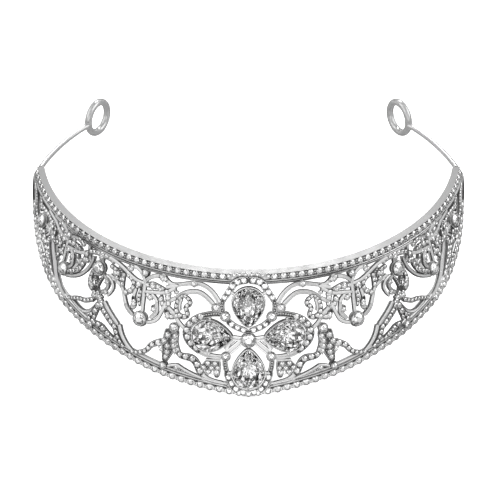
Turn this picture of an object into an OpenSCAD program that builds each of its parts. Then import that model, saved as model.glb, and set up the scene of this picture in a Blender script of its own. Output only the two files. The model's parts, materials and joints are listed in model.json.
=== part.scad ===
/* [Head size] */
// Radius of the base rail at its stone row, which sets the crown's width
rail_radius = 76; // [70:0.5:82]
// Half of the arc that the base rail covers, in degrees
rail_half_arc = 78.5; // [74:0.5:82]

/* [Flare] */
// How far the openwork wall leans outward from straight down, in degrees
flare = 25; // [18:1:32]
// Thickness of the pierced metal
plate_t = 1.7; // [1.4:0.1:2.2]

/* [Base rail] */
// Width of the smooth seat that lies on the hair
seat_w = 2.5; // [2:0.1:3]
// How far the seat stands above the stone row
seat_rise = 0.75; // [0.6:0.05:1]
// Width of the whole rail down the flare, from the stone row's line
rail_depth = 2.85; // [2.6:0.05:3.2]
// Angle between neighbouring stones of the rail row, in degrees
rail_pitch = 2.2; // [2.15:0.05:2.6]

/* [Crest rail] */
// Width of the crest rail
crest_w = 3.2; // [3:0.1:4]
// Length of crest that one stone takes
crest_pitch = 2.95; // [2.9:0.05:3.4]

/* [Wires] */
// Diameter of the wire behind each end of the base rail
wire_d = 1.8; // [1.6:0.1:2]
// Outer diameter of the round loop at the wire's end
loop_d = 14; // [13:0.5:15]
// Diameter of the loop's hole
loop_hole_d = 9.6; // [9:0.2:10]
// Thickness of the loop
loop_t = 2.2; // [2:0.1:2.6]

/* [Stones] */
// Diameter of the small stones in the two rows
row_stone_d = 1.8; // [1.6:0.05:1.85]
// Room between a stone and the metal round it
stone_gap = 0.08; // [0.06:0.01:0.12]

/* [Hidden] */
joint_gap = 0.06;
level_step = 0.12;
collet_wall = 0.38;
collet_sides = 10;
row_stone_sides = 8;
// The rail's stone channel and the groove beside its plain bar, down the flare
channel = [-0.58, 1.34];
groove = [1.6, 2.0];
groove_cut = 0.35;
channel_cut = 0.9;
row_mm = (channel[0] + channel[1]) / 2;
// The rail gives way to the top of the centre ornament within this many degrees
notch_half = 5.3;
notch_cut = 1.1;
// The crest has its plain bar only outside this many degrees
crest_plain_from = 4.6;
crest_row_w = 2.2;
crest_row_in = 1.1;
// The wires leave the rail's ends with this lean inward and end with that one
wire_lean = [15, 38.5];
wire_in = 1.5;
wire_bend_r = rail_radius;
loop_bevel = 0.3;
mean_r = rail_radius + 20 * sin(flare);
deg_mm = mean_r * PI / 180;
steel = [0.80, 0.81, 0.83];
ice = [0.93, 0.95, 0.98];

// Lower edge of the crest, from the centre to the end
// [degrees from the centre, millimetres down the flare]
CREST = [
    [0, 40.0], [10, 37.9], [20, 35.4], [30, 32.1], [40, 28.6], [50, 24.4],
    [60, 17.6], [70, 9.0], [78.5, 3.3]
];

// Stones in a collet of their own, on the left side
// [name, degrees, millimetres, radius, stand]
SET_STONES = [
    ["upper_cluster", -7.3, 10.8, 1.15, 0.5],
    ["inner_cluster", -5.2, 13.4, 1.25, 0.7],
    ["lower_cluster", -4.8, 26.6, 1.10, 0.6],
    ["vine", -16.5, 19.2, 1.30, 0.7],
    ["spray_top", -25.2, 3.7, 0.90, 0.6],
    ["spray_drop", -24.6, 18.9, 2.00, 1.0],
    ["bow", -37.8, 7.9, 1.85, 1.0],
    ["crest_inner", -17.9, 32.3, 0.95, 1.1],
    ["crest_outer", -36.5, 27.2, 0.95, 1.1],
    ["outer_spray_top", -50.1, 3.7, 0.90, 0.6],
    ["outer_spray_drop", -48.6, 15.1, 1.70, 0.8],
    ["outer_bow", -62.4, 7.4, 1.85, 1.0]
];

// A strip of metal is one row: it leaves its first point along one heading and comes to its
// last along another. Headings are degrees, 0 towards the centre and 90 down the flare.
// [deg, mm, leave, deg, mm, arrive, width, last width]
ARCH = [
    [-6.6, 9.4, -115, -12, 3.5, 180, 1.5, 1.3],
    [-12, 3.5, 180, -17.4, 5.1, 168, 1.3, 1.2],
    [-17.4, 5.1, 168, -20.8, 2.4, 222, 1.2, 1.1],
    [-7.9, 9.8, -140, -12, 6.2, 180, 1.5, 1.5],
    [-12, 6.2, 180, -16.6, 9.4, 125, 1.5, 1.3],
    [-15.2, 8.0, 45, -13.9, 11.6, 105, 1.0, 1.5],
    [-13.9, 11.6, 85, -14.6, 15.0, 150, 1.5, 1.5],
    [-14.6, 15.0, 170, -16.4, 11.2, -85, 1.5, 0.9],
    [-16.4, 11.2, -85, -15.0, 7.6, -50, 0.9, 0.9],
    [-18.9, 12.4, 55, -15.9, 17.9, 50, 1.0, 1.0],
    [-18.2, 15.9, -10, -15.6, 14.4, -40, 1.7, 1.5],
    [-19.2, 7.0, 80, -18.2, 12.5, 60, 1.9, 1.4],
    [-19.6, 6.6, -25, -16.6, 5.2, -10, 1.0, 1.0]
];
VINE = [
    [-15.6, 20.4, 110, -15.0, 27.2, 65, 1.4, 1.7],
    [-15.0, 27.2, 65, -12.2, 28.3, 10, 1.7, 2.4],
    [-12.2, 28.3, 15, -9.6, 33.5, 53, 2.4, 2.2],
    [-9.6, 33.5, 50, -5.0, 35.9, 12, 2.2, 1.3],
    [-17.0, 20.0, 100, -17.3, 25.5, 90, 3.6, 4.4],
    [-17.3, 25.5, 90, -17.8, 31.0, 95, 4.4, 1.7],
    [-18.6, 24.4, 150, -21.6, 27.6, 115, 2.3, 1.6],
    [-21.6, 27.6, 115, -26.0, 30.7, 178, 1.6, 1.2],
    [-17.0, 32.4, -20, -15.0, 31.7, 5, 0.8, 2.0],
    [-15.0, 31.7, 10, -10.0, 34.4, 25, 2.0, 1.0],
    [-7.4, 27.4, 90, -8.8, 31.9, 120, 4.2, 2.0],
    [-7.4, 28.0, 90, -6.7, 33.4, 80, 4.0, 1.0],
    [-8.8, 31.4, 120, -9.6, 33.4, 120, 2.0, 1.2]
];
// The spray is drawn about its top stone, at the rail
SPRAY = [
    [0.1, 4.0, 90, 0.4, 17.4, 88, 1.1, 1.0],
    [0, 7.0, -130, -2.6, 3.2, -165, 1.0, 1.0],
    [-2.6, 3.2, 195, -5.2, 5.2, 115, 1.0, 1.0],
    [0.2, 7.4, -60, 2.9, 3.4, -5, 1.0, 1.0],
    [2.9, 3.4, -5, 5.0, 5.6, 90, 1.0, 1.8],
    [-10.4, 2.9, 5, -5.0, 5.1, 25, 1.1, 1.0],
    [-5.0, 5.1, 25, -0.2, 7.4, 10, 1.0, 1.6],
    [-3.6, 10.4, 110, -3.6, 13.4, 60, 1.9, 1.8],
    [-3.6, 13.4, 60, -2.0, 16.6, 60, 1.5, 1.5],
    [-0.4, 9.2, 125, -1.8, 14.6, 100, 1.3, 1.7],
    [-1.8, 14.6, 100, -1.5, 17.6, 60, 1.7, 1.0],
    [0.6, 9.2, 50, 3.1, 14.4, 85, 1.3, 1.8],
    [3.1, 14.4, 95, 1.8, 17.6, 150, 1.8, 0.9],
    [-9.4, 8.4, 20, -5.4, 11.9, 62, 1.2, 1.1],
    [-5.4, 11.9, 62, -1.4, 18.6, 35, 1.1, 1.5],
    [8.6, 9.0, 140, 5.6, 15.6, 105, 1.1, 1.0],
    [5.6, 15.6, 105, 1.8, 19.6, 172, 1.0, 1.1]
];
// Small leaves that only the inner spray has
SPRAY_LEAVES = [
    [-3.0, 7.4, 10, 0, 9.6, 60, 2.0, 1.0],
    [0.2, 9.4, -35, 3.0, 7.6, -5, 1.0, 2.0],
    [3.0, 7.8, 10, 5.6, 11.0, 75, 1.6, 1.6],
    [5.6, 11.0, 75, 4.4, 15.6, 115, 1.8, 0.9],
    [-4.8, 5.4, 80, -3.6, 10.4, 100, 1.1, 1.4],
    [7.6, 5.4, 165, 4.6, 7.4, 120, 1.1, 1.2],
    [-9.8, 5.2, 20, -7.0, 7.6, 90, 1.4, 1.8],
    [-7.0, 7.6, 90, -8.6, 9.2, 200, 1.8, 1.2]
];
// The bow is drawn about its large stone's line, at the rail
BOW = [
    [-4.6, 4.6, -20, 0, 3.2, 0, 1.4, 2.0],
    [0, 3.2, 0, 3.8, 4.2, 25, 2.0, 1.2],
    [0.1, 3.2, 90, 0.1, 6.0, 90, 1.8, 2.2],
    [-1.2, 8.6, 130, -1.9, 13.0, 88, 1.2, 1.6],
    [-1.9, 13.0, 88, -0.2, 15.8, 0, 1.6, 1.3],
    [0.5, 14.2, 90, 0.9, 18.0, 90, 3.4, 2.6],
    [1.2, 9.2, 20, 3.4, 12.0, 92, 1.1, 1.2],
    [3.4, 12.0, 92, 1.6, 15.6, 160, 1.2, 1.4]
];
// Folds that only the inner bow has
BOW_FOLDS = [
    [-4.8, 2.2, 75, -3.2, 6.8, 35, 1.3, 1.2],
    [-1.0, 10.4, 60, 0.5, 14.4, 80, 1.1, 1.5],
    [1.6, 10.2, 125, 0.5, 14.4, 100, 1.0, 1.5],
    [2.6, 8.9, 15, 5.0, 11.8, 85, 0.9, 1.0],
    [5.0, 11.8, 85, 4.0, 15.6, 120, 1.0, 0.7],
    [-0.2, 17.5, 0, 2.4, 17.2, 0, 2.4, 2.2]
];
LEGS = [
    [-37.2, 18.8, 160, -40.6, 21.0, 176, 1.5, 1.5],
    [-40.6, 21.0, 176, -46.4, 24.0, 172, 1.5, 1.0],
    [-43.2, 23.0, 12, -39.2, 24.2, -8, 1.1, 1.1],
    [-39.2, 24.2, -8, -36.2, 19.4, -70, 1.1, 1.1],
    [-35.6, 18.8, 100, -36.9, 26.6, 95, 2.0, 3.4],
    [-35.6, 18.0, 40, -31.0, 23.2, 48, 2.6, 2.6],
    [-31.0, 23.2, 48, -28.9, 26.4, 62, 2.6, 2.3],
    [-28.9, 26.4, 62, -25.0, 30.8, 22, 2.3, 1.2],
    [-36.4, 26.2, -10, -33.3, 26.6, 30, 1.2, 2.6],
    [-33.3, 26.6, 30, -29.4, 28.9, 25, 2.6, 1.2],
    [-56.8, 10.2, 58, -52.2, 17.6, 52, 1.8, 2.4],
    [-52.2, 17.6, 52, -45.0, 24.2, 15, 2.4, 1.4],
    [-40.2, 5.2, 92, -43.0, 13.4, 140, 1.3, 1.3],
    [-43.0, 13.4, 140, -47.4, 16.7, 158, 1.3, 1.2],
    [-42.4, 4.4, 100, -43.6, 11.8, 120, 1.9, 1.7],
    [-43.6, 11.8, 120, -46.8, 14.6, 150, 1.7, 1.3]
];
OUTER = [
    [-63.8, 9.6, 70, -60.2, 14.8, 40, 1.6, 1.7],
    [-60.2, 14.8, 40, -54.6, 19.6, 35, 1.7, 1.6],
    [-61.0, 9.4, 40, -57.4, 13.6, 50, 1.8, 1.8],
    [-57.4, 13.6, 50, -53.6, 17.6, 40, 1.8, 1.6],
    [-60.2, 12.6, 20, -56.6, 11.2, -20, 1.6, 1.4],
    [-57.6, 17.0, -30, -54.6, 15.4, -10, 1.5, 1.6],
    [-60.6, 7.6, 15, -55.4, 9.8, 30, 1.5, 1.6],
    [-64.6, 8.6, 165, -68.6, 5.8, 225, 1.5, 1.4],
    [-68.6, 5.8, 225, -72.6, 3.0, 205, 1.4, 1.2],
    [-64.4, 5.6, -130, -68.0, 2.4, 190, 1.4, 1.2],
    [-68.6, 5.6, 70, -67.2, 9.6, 60, 1.3, 1.2]
];
CENTRE = [
    [0, 1.15, 180, -3.8, 3.4, 120, 2.3, 2.0],
    [-3.8, 3.4, 115, -5.9, 8.6, 108, 2.0, 1.6],
    [-5.9, 8.6, 108, -5.6, 12.4, 60, 1.6, 1.4],
    [-4.6, 14.6, 55, -1.6, 17.5, 20, 1.6, 1.5],
    [-1.6, 17.5, 20, 0, 18.3, 0, 1.5, 1.4],
    [-5.8, 12.8, 190, -10.6, 13.9, 155, 1.7, 1.8],
    [-10.6, 13.9, 155, -13.7, 19.9, 92, 1.9, 2.0],
    [-13.7, 19.9, 88, -10.2, 25.6, 30, 2.0, 1.9],
    [-10.2, 25.6, 30, -5.0, 26.9, 0, 1.7, 1.5],
    [-1.5, 21.6, 125, -4.4, 26.0, 125, 1.1, 1.1],
    [-3.0, 21.0, 150, -4.8, 24.6, 100, 1.0, 1.2],
    [-4.9, 27.4, 95, -4.4, 32.0, 70, 1.3, 1.4],
    [-4.4, 32.0, 75, -3.0, 36.4, 60, 1.6, 1.9],
    [-3.0, 36.4, 60, 0, 38.7, 0, 1.9, 1.9],
    [-3.6, 20.2, 5, -1.2, 20.6, 5, 1.2, 1.2],
    [-2.8, 6.2, -150, -4.4, 5.2, -150, 0.9, 0.9],
    [-12.4, 20.0, 180, -13.6, 20.0, 180, 1.0, 1.0],
    [-8.6, 15.6, -90, -8.6, 14.0, -90, 0.9, 0.9],
    [-8.4, 24.4, 90, -8.4, 26.6, 90, 0.9, 0.9],
    [-3.0, 31.6, 150, -4.4, 32.4, 150, 0.9, 0.9]
];

// Four pear-shaped stones: [name, degrees, millimetres of the centre, turn of the point]
PEARS = [
    ["pear_top", 0, 10.1, -90],
    ["pear_bottom", 0, 30.5, 90],
    ["pear_left", -7.9, 20.1, 0],
    ["pear_right", 7.9, 20.1, 180]
];
pear_len = 12.6;
pear_half = 4.55;
centre_r = 2.1;

// Chart to crown: degrees round the head, millimetres down the flare, millimetres outward
function on_flare(deg, mm, out) =
    let (r = rail_radius + mm * sin(flare) + out * cos(flare))
    [r * sin(deg), -r * cos(deg), -mm * cos(flare) + out * sin(flare)];

// The crest's edge, smooth through its table
function crest_row_at(i) = CREST[max(0, min(len(CREST) - 1, i))];
function crest_slope(i) =
    let (a = crest_row_at(i - 1), b = crest_row_at(i + 1))
    i == 0 ? -0.15 : (b[1] - a[1]) / (b[0] - a[0]);
function crest_mm(deg) =
    let (
        d = min(abs(deg), CREST[len(CREST) - 1][0] - 0.001),
        i = max([for (k = [0 : len(CREST) - 2]) if (CREST[k][0] <= d) k]),
        a = CREST[i],
        b = CREST[i + 1],
        span = b[0] - a[0],
        t = (d - a[0]) / span
    )
    a[1] * (2 * pow(t, 3) - 3 * pow(t, 2) + 1) + b[1] * (3 * pow(t, 2) - 2 * pow(t, 3))
        + span * crest_slope(i) * (pow(t, 3) - 2 * pow(t, 2) + t)
        + span * crest_slope(i + 1) * (pow(t, 3) - pow(t, 2));

// A strip's line: a cubic curve whose handles suit a round arc
function dir(h) = [cos(h), sin(h)];
function turn(a, b) = (((b - a) % 360) + 540) % 360 - 180;
function handle(p, q, bend) = norm(q - p) / 3 / pow(cos(bend / 4), 2);
function bezier(p, q, leave, arrive, t) =
    let (
        k = handle(p, q, turn(leave, arrive)),
        a = p + k * dir(leave),
        b = q - k * dir(arrive)
    )
    pow(1 - t, 3) * p + 3 * pow(1 - t, 2) * t * a + 3 * (1 - t) * t * t * b + pow(t, 3) * q;
function steps(row) = 1 + ceil(abs(turn(row[2], row[5])) / 60);
// Points of one strip's line in millimetres of the chart, with the width at each
function line_of(row, side) =
    let (
        n = steps(row),
        p = [side * row[0] * deg_mm, row[1]],
        q = [side * row[3] * deg_mm, row[4]],
        leave = side > 0 ? row[2] : 180 - row[2],
        arrive = side > 0 ? row[5] : 180 - row[5]
    )
    [for (i = [0 : n]) concat(bezier(p, q, leave, arrive, i / n), row[6] + (row[7] - row[6]) * i / n)];

function unit(v) = v / norm(v);
function along(line, i) =
    let (a = line[max(0, i - 1)], b = line[min(len(line) - 1, i + 1)])
    unit([b[0] - a[0], b[1] - a[1]]);
function chart_at(uv, out) = on_flare(uv[0] / deg_mm, uv[1], out);

// A tube of four-cornered sections from one end of a list of rings to the other
module skin(rings) {
    n = len(rings[0]);
    last = len(rings) - 1;
    polyhedron(
        points = [for (ring = rings) each ring],
        faces = concat(
            [[for (k = [n - 1 : -1 : 0]) k]],
            [[for (k = [0 : n - 1]) last * n + k]],
            [for (i = [0 : last - 1], k = [0 : n - 1])
                [i * n + (k + 1) % n, (i + 1) * n + (k + 1) % n, (i + 1) * n + k, i * n + k]]
        )
    );
}
// Rows that go on from one another make one strip: the numbers of the rows that begin one
function beginnings(table) =
    [for (i = [0 : len(table) - 1])
        if (i == 0 || table[i][0] != table[i - 1][3] || table[i][1] != table[i - 1][4]) i];
function strip_line(table, first, last, side) =
    concat(
        [line_of(table[first], side)[0]],
        [for (i = [first : last]) let (line = line_of(table[i], side)) for (k = [1 : len(line) - 1]) line[k]]
    );
// One strip of metal on the flare, flat outside and sharp inside; grow widens it all round
module strip(line, level, grow = 0) {
    skin([for (i = [0 : len(line) - 1])
        let (
            d = along(line, i),
            across = [-d[1], d[0]] * (line[i][2] / 2 + grow * 1.6),
            end = (i == 0 ? -1 : i == len(line) - 1 ? 1 : 0) * grow,
            p = [line[i][0], line[i][1]] + d * end
        )
        [
            chart_at(p + across, level + grow),
            chart_at(p - across, level + grow),
            chart_at(p, level - plate_t - grow)
        ]]);
}
// Strips of one table stand at four levels in turn, so that one crosses over another
module strips(table, side, grow = 0) {
    first = beginnings(table);
    for (k = [0 : len(first) - 1])
        let (last = k == len(first) - 1 ? len(table) - 1 : first[k + 1] - 1)
            strip(strip_line(table, first[k], last, side), (k % 4) * level_step, grow);
}
// A motif's table moved to its place: down the flare it is scaled by squeeze
function moved(table, at_deg, squeeze, lift = 0) =
    [for (row = table) [
        row[0] + at_deg, lift + (row[1] - lift) * squeeze, row[2],
        row[3] + at_deg, lift + (row[4] - lift) * squeeze, row[5],
        row[6], row[7]
    ]];

// Puts children on the flare, their Z outward and their X towards the right
module stand_on(deg, mm, out) {
    translate(on_flare(deg, mm, out))
        rotate([0, 0, deg])
            rotate([90 - flare, 0, 0])
                children();
}

// A stone's section: table, crown, girdle, pavilion and culet
function stone_section(half) = let (side = half * [[0.6, 0.32], [1, 0], [0.15, -0.75]])
    concat(side, [for (k = [2 : -1 : 0]) [-side[k][0], side[k][1]]]);
// A round stone with an even number of sides, where as many roof-shaped bars cross as half of them
module round_stone(r, sides) {
    intersection_for (k = [0 : sides / 2 - 1])
        rotate([90, 0, 360 * (k + 0.5) / sides])
            linear_extrude(2 * r, center = true) polygon(stone_section(r * cos(180 / sides)));
}
// A stone with any convex outline
module outline_stone(girdle, table_part, crown_h, depth) {
    n = len(girdle);
    hull() polyhedron(
        points = concat(
            [for (p = girdle) [p[0] * table_part, p[1] * table_part, crown_h]],
            [for (p = girdle) [p[0], p[1], 0]],
            [[0, 0, -depth]]
        ),
        faces = concat(
            [[for (k = [n - 1 : -1 : 0]) k]],
            [for (k = [0 : n - 1]) [k, (k + 1) % n, n + (k + 1) % n, n + k]],
            [for (k = [0 : n - 1]) [n + k, n + (k + 1) % n, 2 * n]]
        )
    );
}
// Pear outline with its point along +X, centred on its length
function pear_pts(n, grow) =
    [for (k = [0 : n - 1])
        let (a = 360 * k / n, fat = 1 - 0.32 * cos(a) - 0.16 * pow(cos(a), 2))
        [(pear_len / 2 + grow) * cos(a), (pear_half * 1.08) * sin(a) * fat + grow * sin(a)]];

// A round collet is a short tube through the plate, proud of it by its stand
module collet_body(deg, mm, r, stand, grow = 0) {
    outer = r + stone_gap + collet_wall + grow;
    stand_on(deg, mm, -plate_t - grow - 0.05) hull() {
        cylinder(r = outer * 0.9, h = 0.1, $fn = collet_sides);
        translate([0, 0, plate_t])
            cylinder(r = outer, h = stand + 2 * grow + 0.05, $fn = collet_sides);
    }
}
module collet_hole(deg, mm, r) {
    stand_on(deg, mm, -plate_t - 2)
        cylinder(r = (r + stone_gap) / cos(180 / collet_sides), h = 6, $fn = collet_sides);
}
// A small round stone with its girdle at a height over the flare
module seated_stone(deg, mm, r, out, sides) {
    stand_on(deg, mm, out) round_stone(r, sides);
}

function at_rail(mm, out) =
    [rail_radius + mm * sin(flare) + out * cos(flare), -mm * cos(flare) + out * sin(flare)];
// Turns a section round the head, the same on both sides of the front
module arc(half) {
    rotate([0, 0, -90 - half]) rotate_extrude(angle = 2 * half, $fn = 144) children();
}
module rail_section() {
    top = at_rail(-seat_rise, 0);
    polygon([
        top, at_rail(channel[0], 0), at_rail(channel[0], -channel_cut),
        at_rail(channel[1], -channel_cut), at_rail(channel[1], 0), at_rail(groove[0], 0),
        at_rail(groove[0] + 0.1, -groove_cut), at_rail(groove[1] - 0.1, -groove_cut),
        at_rail(groove[1], 0), at_rail(rail_depth, 0), at_rail(rail_depth, -plate_t - 0.3),
        [top[0] - seat_w, top[1]]
    ]);
}
// Where the centre ornament's top lies over the rail
module rail_notch() {
    arc(notch_half) polygon([
        at_rail(channel[0], 2), at_rail(channel[0], -notch_cut),
        at_rail(rail_depth + 1, -notch_cut), at_rail(rail_depth + 1, 2)
    ]);
}
module rail_body() {
    difference() {
        arc(rail_half_arc) rail_section();
        rail_notch();
    }
}
// The room that the rail takes from the openwork
module rail_room() {
    arc(rail_half_arc + 2) polygon([
        at_rail(-8, joint_gap), at_rail(rail_depth + joint_gap, joint_gap),
        at_rail(rail_depth + joint_gap, -6), at_rail(-8, -6)
    ]);
}

// The crest rail follows its edge: width inward from the edge, thinner towards its ends
function crest_wide(deg) =
    min(abs(deg) < crest_plain_from ? crest_row_w : crest_w, crest_mm(deg) - rail_depth - joint_gap);
function crest_dir(deg) =
    unit([2 * 0.5 * deg_mm, crest_mm(deg + 0.5) - crest_mm(deg - 0.5)]);
// A point of the crest: millimetres inward from its edge, millimetres outward from the flare
function crest_pt(deg, in, out) =
    let (d = crest_dir(deg), p = [deg * deg_mm, crest_mm(deg)] + in * [d[1], -d[0]])
    chart_at(p, out);
function crest_ring(deg) =
    let (w = crest_wide(deg), lip = min(0.16, w / 8), far = min(crest_row_w - 0.16, w - 0.15))
    [
        crest_pt(deg, 0, -plate_t), crest_pt(deg, 0, 0), crest_pt(deg, lip, 0),
        crest_pt(deg, lip, -channel_cut), crest_pt(deg, far, -channel_cut),
        crest_pt(deg, far, 0), crest_pt(deg, w, 0), crest_pt(deg, w, -plate_t)
    ];
crest_stations = concat(
    [for (d = [-78.5 : 2.96 : -5]) d],
    [-crest_plain_from - 0.01, -crest_plain_from + 0.01, -2.3, 0, 2.3],
    [crest_plain_from - 0.01, crest_plain_from + 0.01],
    [for (d = [-78.5 : 2.96 : -5]) -d]
);
module crest_body() {
    skin([for (d = sorted(crest_stations)) crest_ring(d)]);
}
function sorted(v) =
    len(v) < 2 ? v
    : let (m = v[floor(len(v) / 2)])
      concat(sorted([for (x = v) if (x < m) x]), [m], sorted([for (x = v) if (x > m) x]));
// All that is on the crest's line or beyond it. Only over the plain bar may metal lie on the crest.
module crest_room() {
    skin([for (d = concat([-80], sorted(crest_stations), [80]))
        let (w = crest_wide(d) + joint_gap, bar = min(crest_row_w, w - 0.05), g = joint_gap) [
            crest_pt(d, -9, -plate_t - 1), crest_pt(d, -9, 3), crest_pt(d, bar, 3),
            crest_pt(d, bar, g), crest_pt(d, w, g), crest_pt(d, w, -plate_t - 1)
        ]]);
}
// Angles of the crest's stones, a pitch apart along the edge
function crest_walk(deg, stop) =
    deg > stop ? []
    : let (slope = (crest_mm(deg + 0.5) - crest_mm(deg - 0.5)))
      concat([deg], crest_walk(deg + crest_pitch / norm([deg_mm, slope]), stop));
crest_degs = crest_walk(0, 72);

module wire_and_loop() {
    start = (rail_radius - wire_in) * [sin(rail_half_arc), -cos(rail_half_arc)];
    hub = start - wire_bend_r * dir(wire_lean[0]);
    tip = hub + wire_bend_r * dir(wire_lean[1]);
    difference() {
        union() {
            translate([hub[0], hub[1], 0])
                rotate([0, 0, wire_lean[0] - 2])
                    rotate_extrude(angle = wire_lean[1] - wire_lean[0] + 2, $fn = 144)
                        translate([wire_bend_r, 0]) circle(d = wire_d, $fn = 24);
            translate([loop_hub[0], loop_hub[1], 0])
                rotate([0, 0, wire_lean[1]]) rotate([0, 90, 0]) loop_ring();
        }
        rotate([0, 0, rail_half_arc - 90])
            translate([rail_radius - 20, -40 + joint_gap, -10]) cube([40, 40, 20]);
    }
}
function wire_tip() =
    (rail_radius - wire_in) * [sin(rail_half_arc), -cos(rail_half_arc)]
        + wire_bend_r * (dir(wire_lean[1]) - dir(wire_lean[0]));
loop_hub = wire_tip() + (loop_d / 2 - 0.8) * [-sin(wire_lean[1]), cos(wire_lean[1])];
module loop_ring() {
    rotate_extrude($fn = 96) polygon([
        [loop_hole_d / 2, -loop_t / 2 + loop_bevel], [loop_hole_d / 2 + loop_bevel, -loop_t / 2],
        [loop_d / 2 - loop_bevel, -loop_t / 2], [loop_d / 2, -loop_t / 2 + loop_bevel],
        [loop_d / 2, loop_t / 2 - loop_bevel], [loop_d / 2 - loop_bevel, loop_t / 2],
        [loop_hole_d / 2 + loop_bevel, loop_t / 2], [loop_hole_d / 2, loop_t / 2 - loop_bevel]
    ]);
}

// The crown rests on the tip of its crest and on both loops. In side view the floor passes
// through the crest's tip and touches the loops' round outline.
crest_low = on_flare(0, CREST[0][1], -plate_t);
loop_y = loop_hub[1] + (loop_t / 2 - loop_bevel) * sin(wire_lean[1]);
loop_half = [loop_d / 2 * cos(wire_lean[1]), loop_d / 2];
function loop_touch(t) =
    let (n = norm([loop_half[0] * sin(t), loop_half[1] * cos(t)]))
    [loop_y + pow(loop_half[0], 2) * sin(t) / n, -pow(loop_half[1], 2) * cos(t) / n];
function rest_tilt_after(t, rounds) =
    rounds == 0 ? t
    : let (p = loop_touch(t))
      rest_tilt_after(atan((p[1] - crest_low[2]) / (p[0] - crest_low[1])), rounds - 1);
rest_tilt = rest_tilt_after(15, 8);
rest_lift = crest_low[1] * sin(rest_tilt) - crest_low[2] * cos(rest_tilt);
// Front to back centre of the crown as it rests
front_y = let (p = on_flare(0, CREST[0][1] - crest_row_in, 0.75)) p[1] * cos(rest_tilt)
    + p[2] * sin(rest_tilt);
back_y = loop_y * cos(rest_tilt)
    + norm([loop_half[0] * cos(rest_tilt), loop_half[1] * sin(rest_tilt)]);
module at_rest() {
    translate([0, -(front_y + back_y) / 2, rest_lift]) rotate([-rest_tilt, 0, 0]) children();
}

module base_rail() {
    color(steel) at_rest() rail_body();
}
module crest_rail() {
    color(steel) at_rest() crest_body();
}
module left_wire() {
    color(steel) at_rest() mirror([1, 0, 0]) wire_and_loop();
}
module right_wire() {
    color(steel) at_rest() wire_and_loop();
}

module pear_wall(row, grow = 0) {
    stand_on(row[1], row[2], -plate_t - grow)
        rotate([0, 0, row[3]])
            hull() linear_extrude(plate_t + 0.95 + 2 * grow)
                polygon(pear_pts(16, stone_gap + 0.45 + grow));
}
module pear_hole(row) {
    stand_on(row[1], row[2], -plate_t - 2)
        rotate([0, 0, row[3]])
            linear_extrude(8) polygon(pear_pts(16, stone_gap));
}
CENTRE_COLLETS = [for (row = SET_STONES) if (row[0] == "inner_cluster"
    || row[0] == "lower_cluster" || row[0] == "upper_cluster") row];
SIDE_COLLETS = [for (row = SET_STONES) if (row[0] != "inner_cluster"
    && row[0] != "lower_cluster" && row[0] != "upper_cluster") row];

// The centre ornament's metal, whole, and the room that it needs in the garlands
module centre_metal(grow = 0) {
    for (side = [1, -1]) {
        strips(CENTRE, side, grow);
        for (row = CENTRE_COLLETS)
            collet_body(side * row[1], row[2], row[3], row[4], grow);
    }
    for (row = PEARS) pear_wall(row, grow);
    collet_body(0, 20.9, centre_r, 1.1, grow);
}
module centre_ornament() {
    color(steel) at_rest() difference() {
        centre_metal();
        for (side = [1, -1], row = CENTRE_COLLETS) collet_hole(side * row[1], row[2], row[3]);
        for (row = PEARS) pear_hole(row);
        collet_hole(0, 20.9, centre_r);
        difference() {
            rail_room();
            rail_notch();
        }
        crest_room();
    }
}
module garland(side) {
    difference() {
        union() {
            strips(ARCH, side);
            strips(VINE, side);
            strips(moved(SPRAY, -25.2, 1), side);
            strips(moved(SPRAY_LEAVES, -25.2, 1), side);
            strips(moved(BOW, -37.8, 1), side);
            strips(moved(BOW_FOLDS, -37.8, 1), side);
            strips(LEGS, side);
            strips(moved(SPRAY, -50.3, 0.78), side);
            strips(moved(BOW, -62.4, 0.5, 5), side);
            strips(OUTER, side);
            for (row = SIDE_COLLETS) collet_body(side * row[1], row[2], row[3], row[4]);
        }
        for (row = SIDE_COLLETS) collet_hole(side * row[1], row[2], row[3]);
        rail_room();
        crest_room();
        centre_metal(joint_gap);
    }
}
module left_garland() {
    color(steel) at_rest() garland(1);
}
module right_garland() {
    color(steel) at_rest() mirror([1, 0, 0]) garland(1);
}

// A stone's girdle lies this far below its collet's rim
rim_cover = 0.15;
module collet_stone(row, side) {
    color(ice) at_rest()
        seated_stone(side * row[1], row[2], row[3], row[4] - rim_cover, row[3] > 1.5 ? 12 : 8);
}
module pear_stone(row) {
    color(ice) at_rest()
        stand_on(row[1], row[2], 0.7)
            rotate([0, 0, row[3]]) outline_stone(pear_pts(16, 0), 0.62, 1.0, 2.2);
}
module centre_stone() {
    color(ice) at_rest() seated_stone(0, 20.9, centre_r, 0.9, 12);
}
module rail_row() {
    first = notch_half + 0.9;
    color(ice) at_rest()
        for (side = [1, -1], deg = [first : rail_pitch : 77])
            seated_stone(side * deg, row_mm, row_stone_d / 2, -0.1, row_stone_sides);
}
module crest_row() {
    color(ice) at_rest()
        for (side = [1, -1], deg = crest_degs)
            if (deg > 0 || side == 1)
                let (d = crest_dir(side * deg),
                    p = [side * deg * deg_mm, crest_mm(deg)] + crest_row_in * [d[1], -d[0]])
                seated_stone(p[0] / deg_mm, p[1], row_stone_d / 2, -0.1, row_stone_sides);
}

base_rail();
crest_rail();
centre_ornament();
left_garland();
right_garland();
left_wire();
right_wire();
for (row = PEARS) pear_stone(row);
centre_stone();
for (row = SET_STONES) collet_stone(row, 1);
for (row = SET_STONES) collet_stone(row, -1);
rail_row();
crest_row();
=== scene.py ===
"""A bridal crown of polished platinum set with diamonds, resting by itself in a small studio."""

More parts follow.
